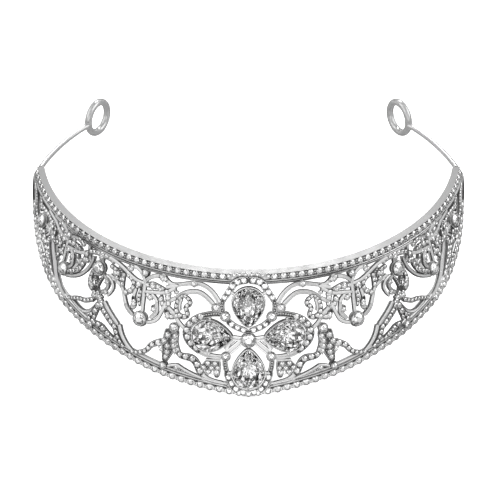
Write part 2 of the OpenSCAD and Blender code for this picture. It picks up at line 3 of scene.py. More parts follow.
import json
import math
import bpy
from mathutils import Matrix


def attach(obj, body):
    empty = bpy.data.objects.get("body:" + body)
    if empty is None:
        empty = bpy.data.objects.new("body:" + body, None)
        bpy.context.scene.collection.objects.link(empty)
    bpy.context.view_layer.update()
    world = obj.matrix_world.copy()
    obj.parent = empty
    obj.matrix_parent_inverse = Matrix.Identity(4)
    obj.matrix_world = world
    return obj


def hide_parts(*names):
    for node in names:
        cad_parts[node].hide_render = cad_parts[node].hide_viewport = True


bl_info = {
    "name": "Bridal Crown",
    "version": (1, 0, 0),
    "blender": (4, 5, 0),
    "location": "3D View > Sidebar > Crown",
    "description": "Dresses the crown's frame with pierced garlands, cut stones, beads and a studio",
    "category": "Object",
}

import bpy
import numpy as np
from bpy.props import FloatProperty, PointerProperty, StringProperty
from mathutils import Matrix, Vector

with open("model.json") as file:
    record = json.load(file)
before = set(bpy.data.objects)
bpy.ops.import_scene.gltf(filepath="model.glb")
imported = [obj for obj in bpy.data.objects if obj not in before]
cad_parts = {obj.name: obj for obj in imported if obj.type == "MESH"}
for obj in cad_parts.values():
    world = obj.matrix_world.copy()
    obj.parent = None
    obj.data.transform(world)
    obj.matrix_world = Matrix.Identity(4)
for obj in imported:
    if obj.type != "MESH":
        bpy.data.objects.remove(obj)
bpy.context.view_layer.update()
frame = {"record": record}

MM = 0.001
# The tables below draw the left side, and the right side mirrors it
SIDES = {"left": 1, "right": -1}
# Degrees from the centre to either end of both rails
HALF_ARC = 78.5
# Slots of the metals on the rails, the centre frames and the scrolls. The second, third and fifth are darker
# copies of the platinum, their colour painted shade.
POLISHED, SHADED, SUNK_SHADE, SATIN, BRUSHED_SHADE = range(5)

# Lower edge of the crest, from the centre to the end: degrees, millimetres down the flare
CREST = [
    (0, 40.0), (10, 37.9), (20, 35.4), (30, 32.1), (40, 28.6), (50, 24.4), (60, 17.6), (70, 9.0),
    (HALF_ARC, 3.3),
]

# Stones in a collet of their own: degrees, millimetres, radius, stand
SET_STONES = {
    "upper_cluster": (-7.3, 10.8, 1.15, 0.5),
    "inner_cluster": (-5.2, 13.4, 1.25, 0.7),
    "lower_cluster": (-4.8, 26.6, 1.10, 0.6),
    "vine": (-16.5, 19.2, 1.30, 0.7),
    "spray_top": (-25.2, 3.7, 0.90, 0.6),
    "spray_drop": (-24.6, 18.9, 2.15, 1.0),
    "bow": (-37.8, 7.9, 2.10, 1.0),
    "crest_inner": (-17.9, 32.3, 0.95, 1.1),
    "crest_outer": (-36.5, 27.2, 0.95, 1.1),
    "outer_spray_top": (-50.1, 3.7, 0.90, 0.6),
    "outer_spray_drop": (-48.6, 15.1, 2.00, 0.8),
    "outer_bow": (-62.4, 7.4, 2.10, 1.0),
}
# The ones among them whose collet is part of the centre ornament
CENTRE_SET = ("upper_cluster", "inner_cluster", "lower_cluster")
CENTRE_STONE = (0, 20.9, 2.1, 1.1)
# Collets: faces round one, the radius over which a stone is large, and the number and radius of the
# claws of a large and of a small stone
COLLET_SIDES = 28
LARGE_STONE = 1.5
LARGE_CLAWS, SMALL_CLAWS = (6, 0.24), (4, 0.19)
# Radius over which a stone's collet has beads round its foot, their step and their radius
BEADED_STONE, FOOT_BEAD_STEP, FOOT_BEAD = 1.0, 0.5, 0.2
# Height of a small single stone and of its collar, and the claws and foot beads round it, six of
# each: millimetres past its radius, phase in steps, height and radius
LOOSE_STAND, COLLAR_TOP = 0.36, 0.3
LOOSE_BEADS = ((0.02, 0, 0.42, 0.14), (0.4, 0.5, 0.1, 0.2))

# Pear stones: degrees, millimetres of the centre, turn of the point
PEARS = {
    "pear_top": (0, 10.1, -90),
    "pear_bottom": (0, 30.5, 90),
    "pear_left": (-7.9, 20.1, 0),
    "pear_right": (7.9, 20.1, 180),
}
# Half the width of a pear halfway along it, in millimetres
PEAR_SIDE = 4.914
# Height of a pear's girdle and of its setting's rim over the flare
PEAR_STAND, PEAR_RIM = 0.7, 0.92
# Directions of the claws, in degrees from the point
PEAR_CLAWS = (0, 38, 75, 112, 150, 180, 210, 248, 285, 322)
PEAR_CLAW = 0.3

# A strip of metal is one row: it leaves its first point along one heading and comes to its last
# along another. Headings are degrees, 0 towards the centre and 90 down the flare. The last word
# is its finish: pave for a row of stones, grain for a row of beads, field for a matt bed under
# loose stones, band for two rims with a channel between them, and wire for a rounded ridge.
# (deg, mm, leave, deg, mm, arrive, width, last width, finish)

# The pierced arches beside the centre
ARCH = [
    (-6.6, 9.4, -115, -12, 3.5, 180, 1.5, 1.3, "band"),
    (-12, 3.5, 180, -17.4, 5.1, 168, 1.3, 1.2, "band"),
    (-17.4, 5.1, 168, -20.8, 2.4, 222, 1.3, 1.2, "wire"),
    (-7.9, 9.8, -140, -12, 6.2, 180, 1.5, 1.5, "band"),
    (-12, 6.2, 180, -16.6, 9.4, 125, 1.5, 1.3, "band"),
    (-15.3, 7.9, 20, -13.4, 10.2, 90, 1.1, 1.5, "pave"),
    (-13.4, 10.2, 90, -14.4, 11.8, 115, 1.5, 1.4, "pave"),
    (-14.4, 11.8, 70, -13.8, 14.4, 100, 1.4, 1.5, "pave"),
    (-13.8, 14.4, 130, -15.8, 14.6, 215, 1.6, 1.7, "pave"),
    (-15.8, 14.6, 215, -16.5, 11.4, -85, 1.7, 1.5, "pave"),
    (-16.5, 11.4, -85, -15.1, 7.7, -50, 1.5, 0.9, "pave"),
    (-15.5, 13.2, -110, -15.3, 9.2, -60, 0.8, 0.8, "wire"),
    (-18.9, 12.6, 30, -16.4, 15.6, 60, 1.3, 1.3, "wire"),
    (-16.4, 15.6, 60, -14.0, 19.2, 45, 1.3, 1.2, "wire"),
    (-18.9, 13.8, 70, -17.9, 16.6, 60, 1.5, 2.2, "pave"),
    (-18.2, 16.0, -10, -15.6, 14.6, -40, 1.7, 1.5, "pave"),
    (-19.3, 7.0, 80, -18.6, 10.4, 80, 1.7, 2.0, "pave"),
    (-18.6, 10.4, 80, -18.2, 12.5, 60, 2.0, 1.4, "pave"),
    (-17.6, 5.7, 75, -17.2, 8.0, 100, 1.1, 1.0, "grain"),
    (-19.6, 6.6, -25, -16.6, 5.2, -10, 1.2, 1.2, "wire"),
]
# The vine between the centre and the spray, with the beds of its two clusters
VINE = [
    (-15.6, 20.4, 110, -15.0, 27.2, 65, 1.4, 1.7, "pave"),
    (-15.0, 27.2, 65, -12.2, 28.3, 10, 1.7, 2.4, "pave"),
    (-12.2, 28.3, 15, -9.6, 33.5, 53, 2.4, 2.2, "pave"),
    (-9.6, 33.5, 50, -5.0, 35.9, 12, 2.2, 1.3, "band"),
    (-17.0, 20.0, 100, -17.3, 25.5, 90, 4.2, 4.6, "field"),
    (-17.3, 25.5, 90, -17.8, 31.0, 95, 4.6, 1.6, "field"),
    (-18.6, 24.4, 150, -21.6, 27.6, 115, 2.3, 1.6, "pave"),
    (-21.6, 27.6, 115, -26.0, 30.7, 178, 1.6, 1.2, "pave"),
    (-17.0, 32.2, -25, -14.8, 31.3, 0, 0.8, 1.0, "wire"),
    (-14.8, 31.3, 30, -9.6, 34.4, 20, 1.0, 0.8, "wire"),
    (-16.8, 33.0, -10, -14.6, 32.6, 10, 1.2, 2.0, "field"),
    (-14.6, 32.6, 20, -10.6, 34.2, 20, 2.0, 1.0, "grain"),
    (-8.9, 27.2, 0, -5.8, 27.1, 0, 0.6, 0.6, "wire"),
    (-9.0, 28.1, 0, -5.9, 28.0, 0, 0.7, 0.7, "wire"),
    (-7.9, 28.3, 120, -9.5, 31.6, 100, 2.2, 1.7, "field"),
    (-7.5, 28.3, 95, -8.3, 33.0, 80, 2.2, 1.6, "field"),
    (-7.0, 28.3, 70, -6.6, 33.9, 100, 3.0, 1.3, "field"),
]
# The spray is drawn about its top stone, at the rail
SPRAY = [
    (0.3, 6.6, 88, 0.7, 17.0, 88, 1.3, 1.2, "wire"),
    (-5.0, 4.6, -55, -3.2, 2.7, -5, 1.3, 1.5, "pave"),
    (-3.2, 2.7, -5, 0.4, 6.8, 62, 1.3, 1.2, "wire"),
    (-10.4, 2.9, 5, -5.0, 4.9, 25, 1.2, 1.2, "wire"),
    (-5.0, 4.9, 25, -2.4, 6.5, 18, 1.2, 1.2, "wire"),
    (-2.4, 6.5, 18, 0.4, 7.0, 5, 1.2, 1.1, "wire"),
    (0.4, 6.6, -70, 3.6, 3.3, -10, 1.1, 1.4, "band"),
    (3.6, 3.3, 0, 5.8, 4.6, 60, 1.5, 1.7, "pave"),
    (0.4, 7.7, -25, 2.6, 6.9, 5, 1.4, 2.2, "pave"),
    (2.6, 6.9, 5, 5.3, 7.5, 20, 2.2, 1.2, "pave"),
    (0.8, 9.7, -15, 4.6, 8.7, -10, 1.2, 1.2, "wire"),
    (4.6, 8.7, -10, 8.0, 6.0, -35, 1.2, 1.1, "wire"),
    (-5.0, 5.8, 30, -2.5, 8.2, 75, 1.3, 1.6, "pave"),
    (-2.5, 8.2, 75, -3.3, 11.3, 140, 1.6, 1.7, "pave"),
    (-3.3, 11.3, 140, -4.8, 12.0, 190, 1.7, 1.2, "pave"),
    (-2.3, 7.3, 20, -0.2, 8.9, 45, 2.0, 1.6, "pave"),
    (-1.7, 9.5, 100, -2.0, 12.6, 90, 1.2, 1.2, "wire"),
    (-2.0, 12.6, 90, -1.6, 15.2, 100, 1.5, 1.9, "pave"),
    (-1.6, 15.2, 100, -2.5, 16.9, 140, 1.9, 1.3, "pave"),
    (-0.2, 9.0, 110, -0.6, 11.8, 90, 1.3, 1.4, "pave"),
    (-0.6, 11.8, 90, 0, 15.0, 70, 1.4, 1.0, "pave"),
    (0.8, 9.4, 60, 2.3, 11.3, 30, 1.3, 1.8, "pave"),
    (2.5, 9.9, 20, 4.0, 12.4, 80, 1.1, 1.3, "wire"),
    (4.0, 12.4, 80, 4.2, 15.0, 100, 1.3, 1.5, "band"),
    (4.2, 15.0, 100, 2.8, 17.9, 135, 1.5, 1.2, "band"),
    (2.9, 13.5, 60, 3.6, 15.9, 110, 1.4, 1.6, "pave"),
    (4.6, 9.5, 60, 5.5, 12.8, 60, 1.4, 1.8, "pave"),
    (5.5, 12.8, 20, 6.6, 12.4, -60, 1.6, 1.0, "pave"),
    (-5.4, 5.6, 100, -5.3, 10.8, 75, 1.4, 1.7, "pave"),
    (-7.4, 4.6, 30, -5.6, 7.4, 80, 1.4, 1.2, "grain"),
    (-9.4, 8.4, 20, -4.9, 12.0, 64, 1.3, 1.3, "wire"),
    (-4.9, 12.0, 64, -3.6, 15.9, 60, 1.3, 1.4, "wire"),
    (-3.6, 15.9, 60, -1.4, 18.6, 30, 1.4, 1.5, "band"),
    (8.4, 9.2, 140, 5.8, 12.8, 105, 1.2, 1.2, "wire"),
    (5.8, 12.8, 105, 4.9, 16.6, 110, 1.2, 1.1, "wire"),
    (4.9, 16.6, 110, 1.8, 19.6, 172, 1.1, 1.1, "wire"),
    (-9.8, 5.2, 20, -7.0, 7.6, 90, 1.4, 1.8, "pave"),
    (-7.0, 7.6, 90, -8.6, 9.2, 200, 1.8, 1.2, "pave"),
]
# The bow is drawn about its large stone's line, at the rail
BOW = [
    (-4.6, 4.6, -20, 0, 3.2, 0, 1.4, 2.0, "pave"),
    (0, 3.2, 0, 3.8, 4.2, 25, 2.0, 1.2, "pave"),
    (0.1, 3.2, 90, 0.1, 6.0, 90, 1.8, 2.2, "band"),
    (-1.2, 8.6, 130, -1.9, 13.0, 88, 1.2, 1.6, "pave"),
    (-1.9, 13.0, 88, -0.2, 15.8, 0, 1.6, 1.3, "pave"),
    (0.5, 14.2, 90, 0.9, 18.0, 90, 3.4, 2.6, "pave"),
    (1.2, 9.2, 20, 3.4, 12.0, 92, 1.1, 1.2, "band"),
    (3.4, 12.0, 92, 1.6, 15.6, 160, 1.2, 1.4, "band"),
]
# Folds between the loops of a bow
BOW_FOLDS = [
    (-4.8, 2.2, 75, -3.2, 6.8, 35, 1.3, 1.2, "band"),
    (-1.0, 10.4, 60, 0.5, 14.4, 80, 1.1, 1.5, "grain"),
    (1.6, 10.2, 125, 0.5, 14.4, 100, 1.0, 1.5, "grain"),
    (2.6, 8.9, 15, 5.0, 11.8, 85, 0.9, 1.0, "wire"),
    (5.0, 11.8, 85, 4.0, 15.6, 120, 1.0, 0.7, "wire"),
    (-0.2, 17.5, 0, 2.4, 17.2, 0, 2.4, 2.2, "pave"),
]
# Legs that run down to the crest, and the ribbons between the bow and the outer spray
LEGS = [
    (-37.2, 18.8, 160, -40.6, 21.0, 176, 1.5, 1.5, "pave"),
    (-40.6, 21.0, 176, -46.4, 24.0, 172, 1.5, 1.0, "pave"),
    (-43.2, 23.0, 12, -39.2, 24.2, -8, 1.1, 1.1, "band"),
    (-39.2, 24.2, -8, -36.2, 19.4, -70, 1.1, 1.1, "band"),
    (-35.6, 18.8, 100, -36.9, 26.6, 95, 2.0, 3.4, "pave"),
    (-35.4, 18.4, 60, -31.6, 23.4, 38, 2.0, 1.9, "pave"),
    (-31.6, 23.4, 38, -29.9, 25.6, 75, 1.9, 1.7, "pave"),
    (-29.9, 25.6, 75, -27.2, 30.2, 35, 1.7, 1.4, "pave"),
    (-34.5, 17.8, 44, -29.7, 23.5, 36, 1.4, 1.3, "wire"),
    (-29.3, 23.2, 72, -25.0, 30.5, 28, 1.4, 1.1, "wire"),
    (-36.4, 16.8, 60, -34.4, 19.6, 60, 2.2, 1.8, "pave"),
    (-36.4, 26.2, -10, -33.3, 26.6, 30, 1.2, 2.6, "pave"),
    (-33.3, 26.6, 30, -30.2, 28.7, 25, 2.6, 1.2, "pave"),
    (-57.6, 10.6, 66, -53.6, 18.0, 44, 1.8, 2.3, "pave"),
    (-53.6, 18.0, 44, -45.6, 24.6, 15, 2.3, 1.4, "pave"),
    (-55.2, 9.4, 72, -51.8, 16.0, 55, 1.5, 2.1, "wire"),
    (-51.8, 16.0, 55, -45.6, 23.3, 18, 2.1, 1.1, "wire"),
    (-40.2, 5.2, 92, -43.0, 13.4, 140, 1.3, 1.3, "band"),
    (-43.0, 13.4, 140, -47.4, 16.7, 158, 1.3, 1.2, "band"),
    (-42.4, 4.4, 100, -43.6, 11.8, 120, 1.9, 1.7, "pave"),
    (-43.6, 11.8, 120, -46.8, 14.6, 150, 1.7, 1.3, "pave"),
]
# Leaves round the outer bow
OUTER = [
    (-63.8, 9.6, 70, -60.2, 14.8, 40, 1.6, 1.7, "pave"),
    (-60.2, 14.8, 40, -54.6, 19.6, 35, 1.7, 1.6, "pave"),
    (-61.0, 9.4, 40, -57.4, 13.6, 50, 1.8, 1.8, "pave"),
    (-57.4, 13.6, 50, -53.6, 17.6, 40, 1.8, 1.6, "pave"),
    (-60.2, 12.6, 20, -56.6, 11.2, -20, 1.6, 1.4, "pave"),
    (-57.6, 17.0, -30, -54.6, 15.4, -10, 1.5, 1.6, "pave"),
    (-60.6, 7.6, 15, -55.4, 9.8, 30, 1.5, 1.6, "pave"),
    (-64.6, 8.6, 165, -68.6, 5.8, 225, 1.5, 1.4, "pave"),
    (-68.6, 5.8, 225, -72.6, 3.0, 205, 1.4, 1.2, "pave"),
    (-64.4, 5.6, -130, -68.0, 2.4, 190, 1.4, 1.2, "pave"),
    (-68.6, 5.6, 70, -67.2, 9.6, 60, 1.3, 1.2, "band"),
]
# Petal frames and bands of the centre ornament, and the short struts that hold them
CENTRE = [
    (0, 1.35, 180, -3.8, 3.5, 120, 2.5, 2.4, "pave"),
    (-3.8, 3.5, 115, -5.9, 8.6, 108, 2.4, 1.7, "pave"),
    (-5.9, 8.6, 108, -5.6, 12.4, 60, 1.6, 1.4, "grain"),
    (-4.6, 14.6, 55, -1.6, 17.4, 20, 2.0, 1.9, "pave"),
    (-1.6, 17.4, 20, 0, 18.2, 0, 1.9, 1.6, "pave"),
    (-5.8, 12.8, 190, -10.2, 13.7, 160, 1.7, 1.8, "grain"),
    (-9.6, 13.5, 165, -13.6, 19.9, 92, 2.0, 2.5, "pave"),
    (-13.6, 19.9, 88, -10.2, 25.6, 30, 2.5, 2.3, "pave"),
    (-10.2, 25.6, 30, -5.0, 26.9, 0, 1.7, 1.5, "band"),
    (-1.7, 21.6, 130, -4.4, 25.6, 125, 1.9, 1.9, "band"),
    (-3.0, 21.0, 150, -4.8, 24.6, 100, 1.0, 1.2, "wire"),
    (-4.9, 27.4, 95, -4.4, 32.0, 70, 1.3, 1.4, "grain"),
    (-4.4, 32.0, 75, -3.2, 36.2, 60, 1.9, 2.3, "pave"),
    (-3.2, 36.2, 60, 0, 38.6, 0, 2.3, 2.4, "pave"),
    (-3.6, 20.2, 5, -1.2, 20.6, 5, 1.6, 1.6, "band"),
    (-2.8, 6.2, -150, -4.4, 5.2, -150, 0.9, 0.9, "wire"),
    (-12.4, 20.0, 180, -13.6, 20.0, 180, 1.0, 1.0, "wire"),
    (-8.6, 15.6, -90, -8.6, 14.0, -90, 0.9, 0.9, "wire"),
    (-8.4, 24.4, 90, -8.4, 26.6, 90, 0.9, 0.9, "wire"),
    (-3.0, 31.6, 150, -4.4, 32.4, 150, 0.9, 0.9, "wire"),
]

# Small stones that stand by themselves, each in a collar: degrees, millimetres, radius
LOOSE = {
    "arch": [(-12.8, 3.75, 0.85), (-20.5, 4.0, 0.7)],
    "cluster": [
        (-17.7, 21.9, 0.85), (-15.9, 21.9, 0.85), (-16.2, 23.5, 0.75), (-18.4, 24.1, 0.8),
        (-19.4, 25.6, 0.75), (-16.0, 25.2, 0.8), (-17.5, 25.6, 0.75), (-15.7, 26.8, 0.75),
        (-17.4, 27.6, 0.75), (-17.6, 29.3, 0.7), (-18.7, 27.2, 0.5),
    ],
    "bud": [
        (-8.5, 29.3, 0.7), (-7.0, 29.2, 0.65), (-9.3, 30.8, 0.65), (-7.7, 30.8, 0.65), (-6.4, 30.6, 0.6),
        (-8.3, 32.2, 0.7), (-6.6, 32.2, 0.8),
    ],
    "crest leaf": [(-15.0, 32.2, 0.75)],
    "middle": [(-4.7, 0.1, 0.5), (-3.4, -0.3, 0.45), (-2.1, -0.5, 0.42), (-0.75, -0.55, 0.4)],
    "outer": [
        (-53.2, 3.7, 0.8), (-58.2, 5.5, 0.7), (-55.9, 8.9, 0.8), (-42.1, 7.6, 0.8), (-44.2, 12.1, 0.7),
        (-46.3, 5.2, 0.75), (-46.7, 7.4, 0.65), (-51.5, 4.6, 0.6), (-53.5, 6.8, 0.75), (-52.4, 8.6, 0.7),
        (-51.2, 10.4, 0.65), (-49.0, 8.6, 0.5), (-47.1, 9.7, 0.7), (-44.4, 9.8, 0.65), (-47.8, 3.6, 0.6),
        (-44.5, 3.4, 0.65), (-57.0, 10.6, 0.6), (-59.2, 12.2, 0.75),
    ],
    "inner spray": [
        (-33.1, 7.1, 0.75), (-29.1, 3.9, 0.65), (-28.3, 10.9, 0.75), (-29.4, 12.0, 0.7), (-26.4, 7.9, 0.8),
        (-22.8, 7.3, 0.8), (-23.0, 11.1, 0.8), (-20.8, 7.6, 0.6), (-26.8, 14.9, 0.75), (-21.8, 14.7, 0.75),
        (-20.4, 10.9, 0.65), (-20.6, 3.9, 0.6), (-18.8, 8.7, 0.8), (-18.2, 15.7, 0.85), (-16.8, 7.4, 0.5),
    ],
    "bow": [
        (-38.0, 4.1, 0.75), (-37.5, 17.4, 0.85), (-35.9, 17.2, 0.75), (-39.4, 13.2, 0.7), (-38.8, 14.6, 0.7),
        (-34.8, 11.2, 0.7), (-34.6, 14.6, 0.7),
    ],
}
# Where the sprays and bows stand: degrees, how much of their length down the flare they keep, and
# the line in millimetres about which it shrinks
INNER_SPRAY, OUTER_SPRAY = (-25.2, 1), (-50.3, 0.78)
INNER_BOW, OUTER_BOW = (-37.8, 1), (-62.4, 0.5, 5)

# Soft light of the studio by height, from straight down at 0 to straight up at 1, with the horizon
# at 0.5. Below the horizon it is what the polished metal mirrors.
SKY = [
    (0, 0.1), (0.24, 0.14), (0.34, 0.52), (0.44, 0.55), (0.50, 0.32), (0.56, 0.3), (0.60, 0.5),
    (0.64, 0.75), (0.72, 0.76), (0.78, 0.9), (0.84, 0.72), (0.94, 0.72), (1, 0.9),
]
SKY_GAIN = 1.65
# Panels of light with darker gaps between them that stones and edges pick up: scale of the noise
# that draws them, the two levels of it between which a panel's edge fades, and how much light a
# gap keeps, by height
SKY_PANELS = 5.0
PANEL_EDGE = (0.47, 0.53)
SKY_GAPS = [
    (0, 0.12), (0.44, 0.12), (0.50, 0.1), (0.56, 0.1), (0.62, 0.75), (0.74, 0.75), (0.80, 0.12),
    (1, 0.12),
]
# Soft boxes: name, place in metres, size, watts
LAMPS = [
    ("front", (0.0, -1.1, 0.62), 0.6, 0.7),
    ("left", (-0.9, -0.1, 0.9), 1.3, 4.0),
    ("right", (0.95, 0.1, 0.85), 1.3, 5.4),
    ("back", (0.0, 1.05, 0.6), 0.36, 4.6),
]
# Half the floor's side in metres, and how brightly the sheet glows, a painted light that washes the crown's
# shadows off it
FLOOR_REACH = 6.0
TABLE_GLOW = 0.7
# The photograph's view: degrees over the horizon, degrees that it looks lower than the ring's centre,
# metres away, millimetres of lens and of sensor, and the small shift sideways
VIEW_HEIGHT, VIEW_PITCH, VIEW_AWAY = 48.278, 4.425, 0.4916
LENS_MM, SENSOR_MM, VIEW_SHIFT = 98.0, 36.0, 0.003


# Sizes and finishes that a user would change
class CrownSizes(bpy.types.PropertyGroup):
    """Driving sizes of the crown"""

    rail_radius: FloatProperty(
        name="Rail radius", description="Radius of the base rail at its stone row",
        default=0.076, min=0.06, max=0.09, unit="LENGTH",
    )
    flare: FloatProperty(
        name="Flare", description="Lean of the openwork wall away from straight down",
        default=math.radians(25), min=0.0, max=0.8, subtype="ANGLE",
    )
    plate: FloatProperty(
        name="Plate", description="Thickness of the pierced metal",
        default=0.0017, min=0.001, max=0.003, unit="LENGTH",
    )
    rail_pitch: FloatProperty(
        name="Rail pitch", description="Angle between stones of the rail row",
        default=math.radians(2.2), min=0.03, max=0.06, subtype="ANGLE",
    )
    crest_pitch: FloatProperty(
        name="Crest pitch", description="Length of crest that one stone takes",
        default=0.00295, min=0.0025, max=0.004, unit="LENGTH",
    )
    row_stone: FloatProperty(
        name="Row stone", description="Diameter of the stones in the two rows",
        default=0.0019, min=0.0012, max=0.0022, unit="LENGTH",
    )
    pear_length: FloatProperty(
        name="Pear length", description="Length of each pear stone",
        default=0.0126, min=0.01, max=0.014, unit="LENGTH",
    )


class CrownFinish(bpy.types.PropertyGroup):
    """Colours and polish"""

    platinum: StringProperty(
        name="Platinum", description="Colour of the polished metal, as sRGB hex", default="E2E2E2",
    )
    # The walls and feet are a darker copy of the platinum: painted shade
    shaded: StringProperty(
        name="Shaded platinum", description="Colour of the walls and feet of the metal", default="B8B8B8",
    )
    floor: StringProperty(name="Floor", description="Colour of the studio floor", default="F4F4F4")
    polish: FloatProperty(
        name="Polish", description="Roughness of the polished metal", default=0.16, min=0.02, max=0.6,
    )


def sizes():
    return bpy.context.scene.crown_sizes


def finish():
    return bpy.context.scene.crown_finish


# Materials
DIAMOND_IOR = 2.417
# The tint of the stones wanders nine times in 20 mm, and the sheet's fibres lie in flecks of 25 mm
TINT_MM = 20 / 9
FIBRE_MM = 25


def linear(hex_colour):
    """Linear colour of an sRGB hex value."""
    parts = [int(hex_colour[i:i + 2], 16) / 255 for i in (0, 2, 4)]
    return [c / 12.92 if c <= 0.04045 else ((c + 0.055) / 1.055) ** 2.4 for c in parts] + [1.0]


def add(tree, kind, inputs=None, **settings):
    """Adds a node; an input is a value or another node's output socket."""
    made = tree.nodes.new(kind)
    for name, value in settings.items():
        setattr(made, name, value)
    for key, value in (inputs or {}).items():
        if isinstance(value, bpy.types.NodeSocket):
            tree.links.new(value, made.inputs[key])
        else:
            made.inputs[key].default_value = value
    return made


def material(name, build):
    """The material of that name, built once."""
    if name in bpy.data.materials:
        return bpy.data.materials[name]
    made = bpy.data.materials.new(name)
    made.use_nodes = True
    made.node_tree.nodes.clear()
    shader = build(made.node_tree)
    add(made.node_tree, "ShaderNodeOutputMaterial", {"Surface": shader.outputs["BSDF"]})
    return made


def worn_metal(tree, dark, light, rough, spot_mm, mark_mm, metallic=1.0):
    """A metal whose colour and gloss wander over spots of one size, with finer marks left by the tool.
    Real marks are far under a tenth of a millimetre; these are as coarse as they need to be to show.
    A metallic share under 1 makes it satin, which sends part of the light every way."""
    place = add(tree, "ShaderNodeTexCoord").outputs["Object"]
    cloud = add(tree, "ShaderNodeTexNoise", {"Vector": place, "Scale": 1 / (spot_mm * MM), "Detail": 3.0})
    marks = add(tree, "ShaderNodeTexNoise", {"Vector": place, "Scale": 1 / (mark_mm * MM), "Detail": 2.0})
    tone = add(tree, "ShaderNodeMix", data_type="RGBA")
    tone.inputs["A"].default_value = linear(dark)
    tone.inputs["B"].default_value = linear(light)
    tree.links.new(cloud.outputs["Fac"], tone.inputs["Factor"])
    gloss = add(tree, "ShaderNodeMapRange", {
        "Value": cloud.outputs["Fac"], "From Min": 0.3, "From Max": 0.7,
        "To Min": rough * 0.9, "To Max": rough * 1.1,
    })
    relief = add(tree, "ShaderNodeBump", {
        "Height": marks.outputs["Fac"], "Strength": 0.06, "Distance": mark_mm * MM * 0.1,
    })
    return add(tree, "ShaderNodeBsdfPrincipled", {
        "Base Color": tone.outputs["Result"], "Metallic": metallic,
        "Roughness": gloss.outputs["Result"], "Normal": relief.outputs["Normal"],
    })


def polished_platinum(tree):
    """Wheel-polished platinum: bright, with a slight wander of tone every few millimetres."""
    return worn_metal(tree, "CECECE", finish().platinum, finish().polish, 3.0, 0.35)


def shaded_platinum(tree):
    """Walls, feet and the crest's channel: a greyer, duller copy of the platinum, its darker colour painted
    shade.
    """
    return worn_metal(tree, "8E8E8E", finish().shaded, 0.34, 1.2, 0.2)


def sunk_platinum(tree):
    """Beds, grooves, ledges, the holes under stones and the rail row's seats: matt as the graver leaves them,
    and dark, which is painted shade between and under the stones.
    """
    return worn_metal(tree, "404040", "7A7A7A", 0.45, 0.8, 0.2)


def brushed_platinum(tree):
    """The rail's wide seat and the crest's outer edge, brushed to an even grey darker than the platinum, a
    painted shade; it turns white only where it faces a lamp."""
    return worn_metal(tree, "808080", "8C8C8C", 0.42, 4.0, 0.15)


def satin_platinum(tree):
    """Plain bands, ridges and the crest's bars and seats, rubbed to a soft shine that is pale from
    every side."""
    return worn_metal(tree, "DEDEDE", "F2F2F2", 0.25, 2.0, 0.6, 0.55)


def drawn_wire(tree):
    """Wire pulled through a die and lightly polished: an even, soft shine all round."""
    return worn_metal(tree, "BCBCBC", "D0D0D0", 0.16, 2.0, 1.5, 0.55)


def diamond(tree, through, mirror):
    """Cut diamond, its tint wandering from stone to stone. It sends back the mirror share of the
    light like a metal, as its many facets do together, and lets the through share of the rest pass."""
    place = add(tree, "ShaderNodeTexCoord").outputs["Object"]
    cloud = add(tree, "ShaderNodeTexNoise", {"Vector": place, "Scale": 1 / (TINT_MM * MM), "Detail": 1.0})
    tint = add(tree, "ShaderNodeMix", data_type="RGBA")
    tint.inputs["A"].default_value = linear("F4F4F4")
    tint.inputs["B"].default_value = linear("FFFFFF")
    tree.links.new(cloud.outputs["Fac"], tint.inputs["Factor"])
    return add(tree, "ShaderNodeBsdfPrincipled", {
        "Base Color": tint.outputs["Result"], "Roughness": 0.0, "IOR": DIAMOND_IOR,
        "Transmission Weight": through, "Metallic": mirror,
    })


def cut_diamond(tree):
    """Large stones: clear, with sharp facets that bend light strongly."""
    return diamond(tree, 1.0, 0.0)


def round_diamond(tree):
    """Stones in round collets: bright, with sharp facets that send most of the light back."""
    return diamond(tree, 0.4, 0.75)


def small_diamond(tree):
    """Small stones in rows and collars: white with the light that many tiny facets send back."""
    return diamond(tree, 0.4, 0.65)


def light_table(tree):
    """White sheet under the crown that glows by itself like a photographer's light table: painted light that
    washes the crown's shadows out of it.
    """
    place = add(tree, "ShaderNodeTexCoord").outputs["Object"]
    fibre = add(tree, "ShaderNodeTexNoise", {"Vector": place, "Scale": 1 / (FIBRE_MM * MM), "Detail": 4.0})
    tone = add(tree, "ShaderNodeMix", data_type="RGBA")
    tone.inputs["A"].default_value = linear(finish().floor)
    tone.inputs["B"].default_value = linear("FFFFFF")
    tree.links.new(fibre.outputs["Fac"], tone.inputs["Factor"])
    return add(tree, "ShaderNodeBsdfPrincipled", {
        "Base Color": tone.outputs["Result"], "Roughness": 0.9,
        "Emission Color": linear("FFFFFF"), "Emission Strength": TABLE_GLOW,
    })


def metals():
    """The metals in the order of their slots."""
    builds = (polished_platinum, shaded_platinum, sunk_platinum, satin_platinum, brushed_platinum)
    return [material(build.__name__, build) for build in builds]


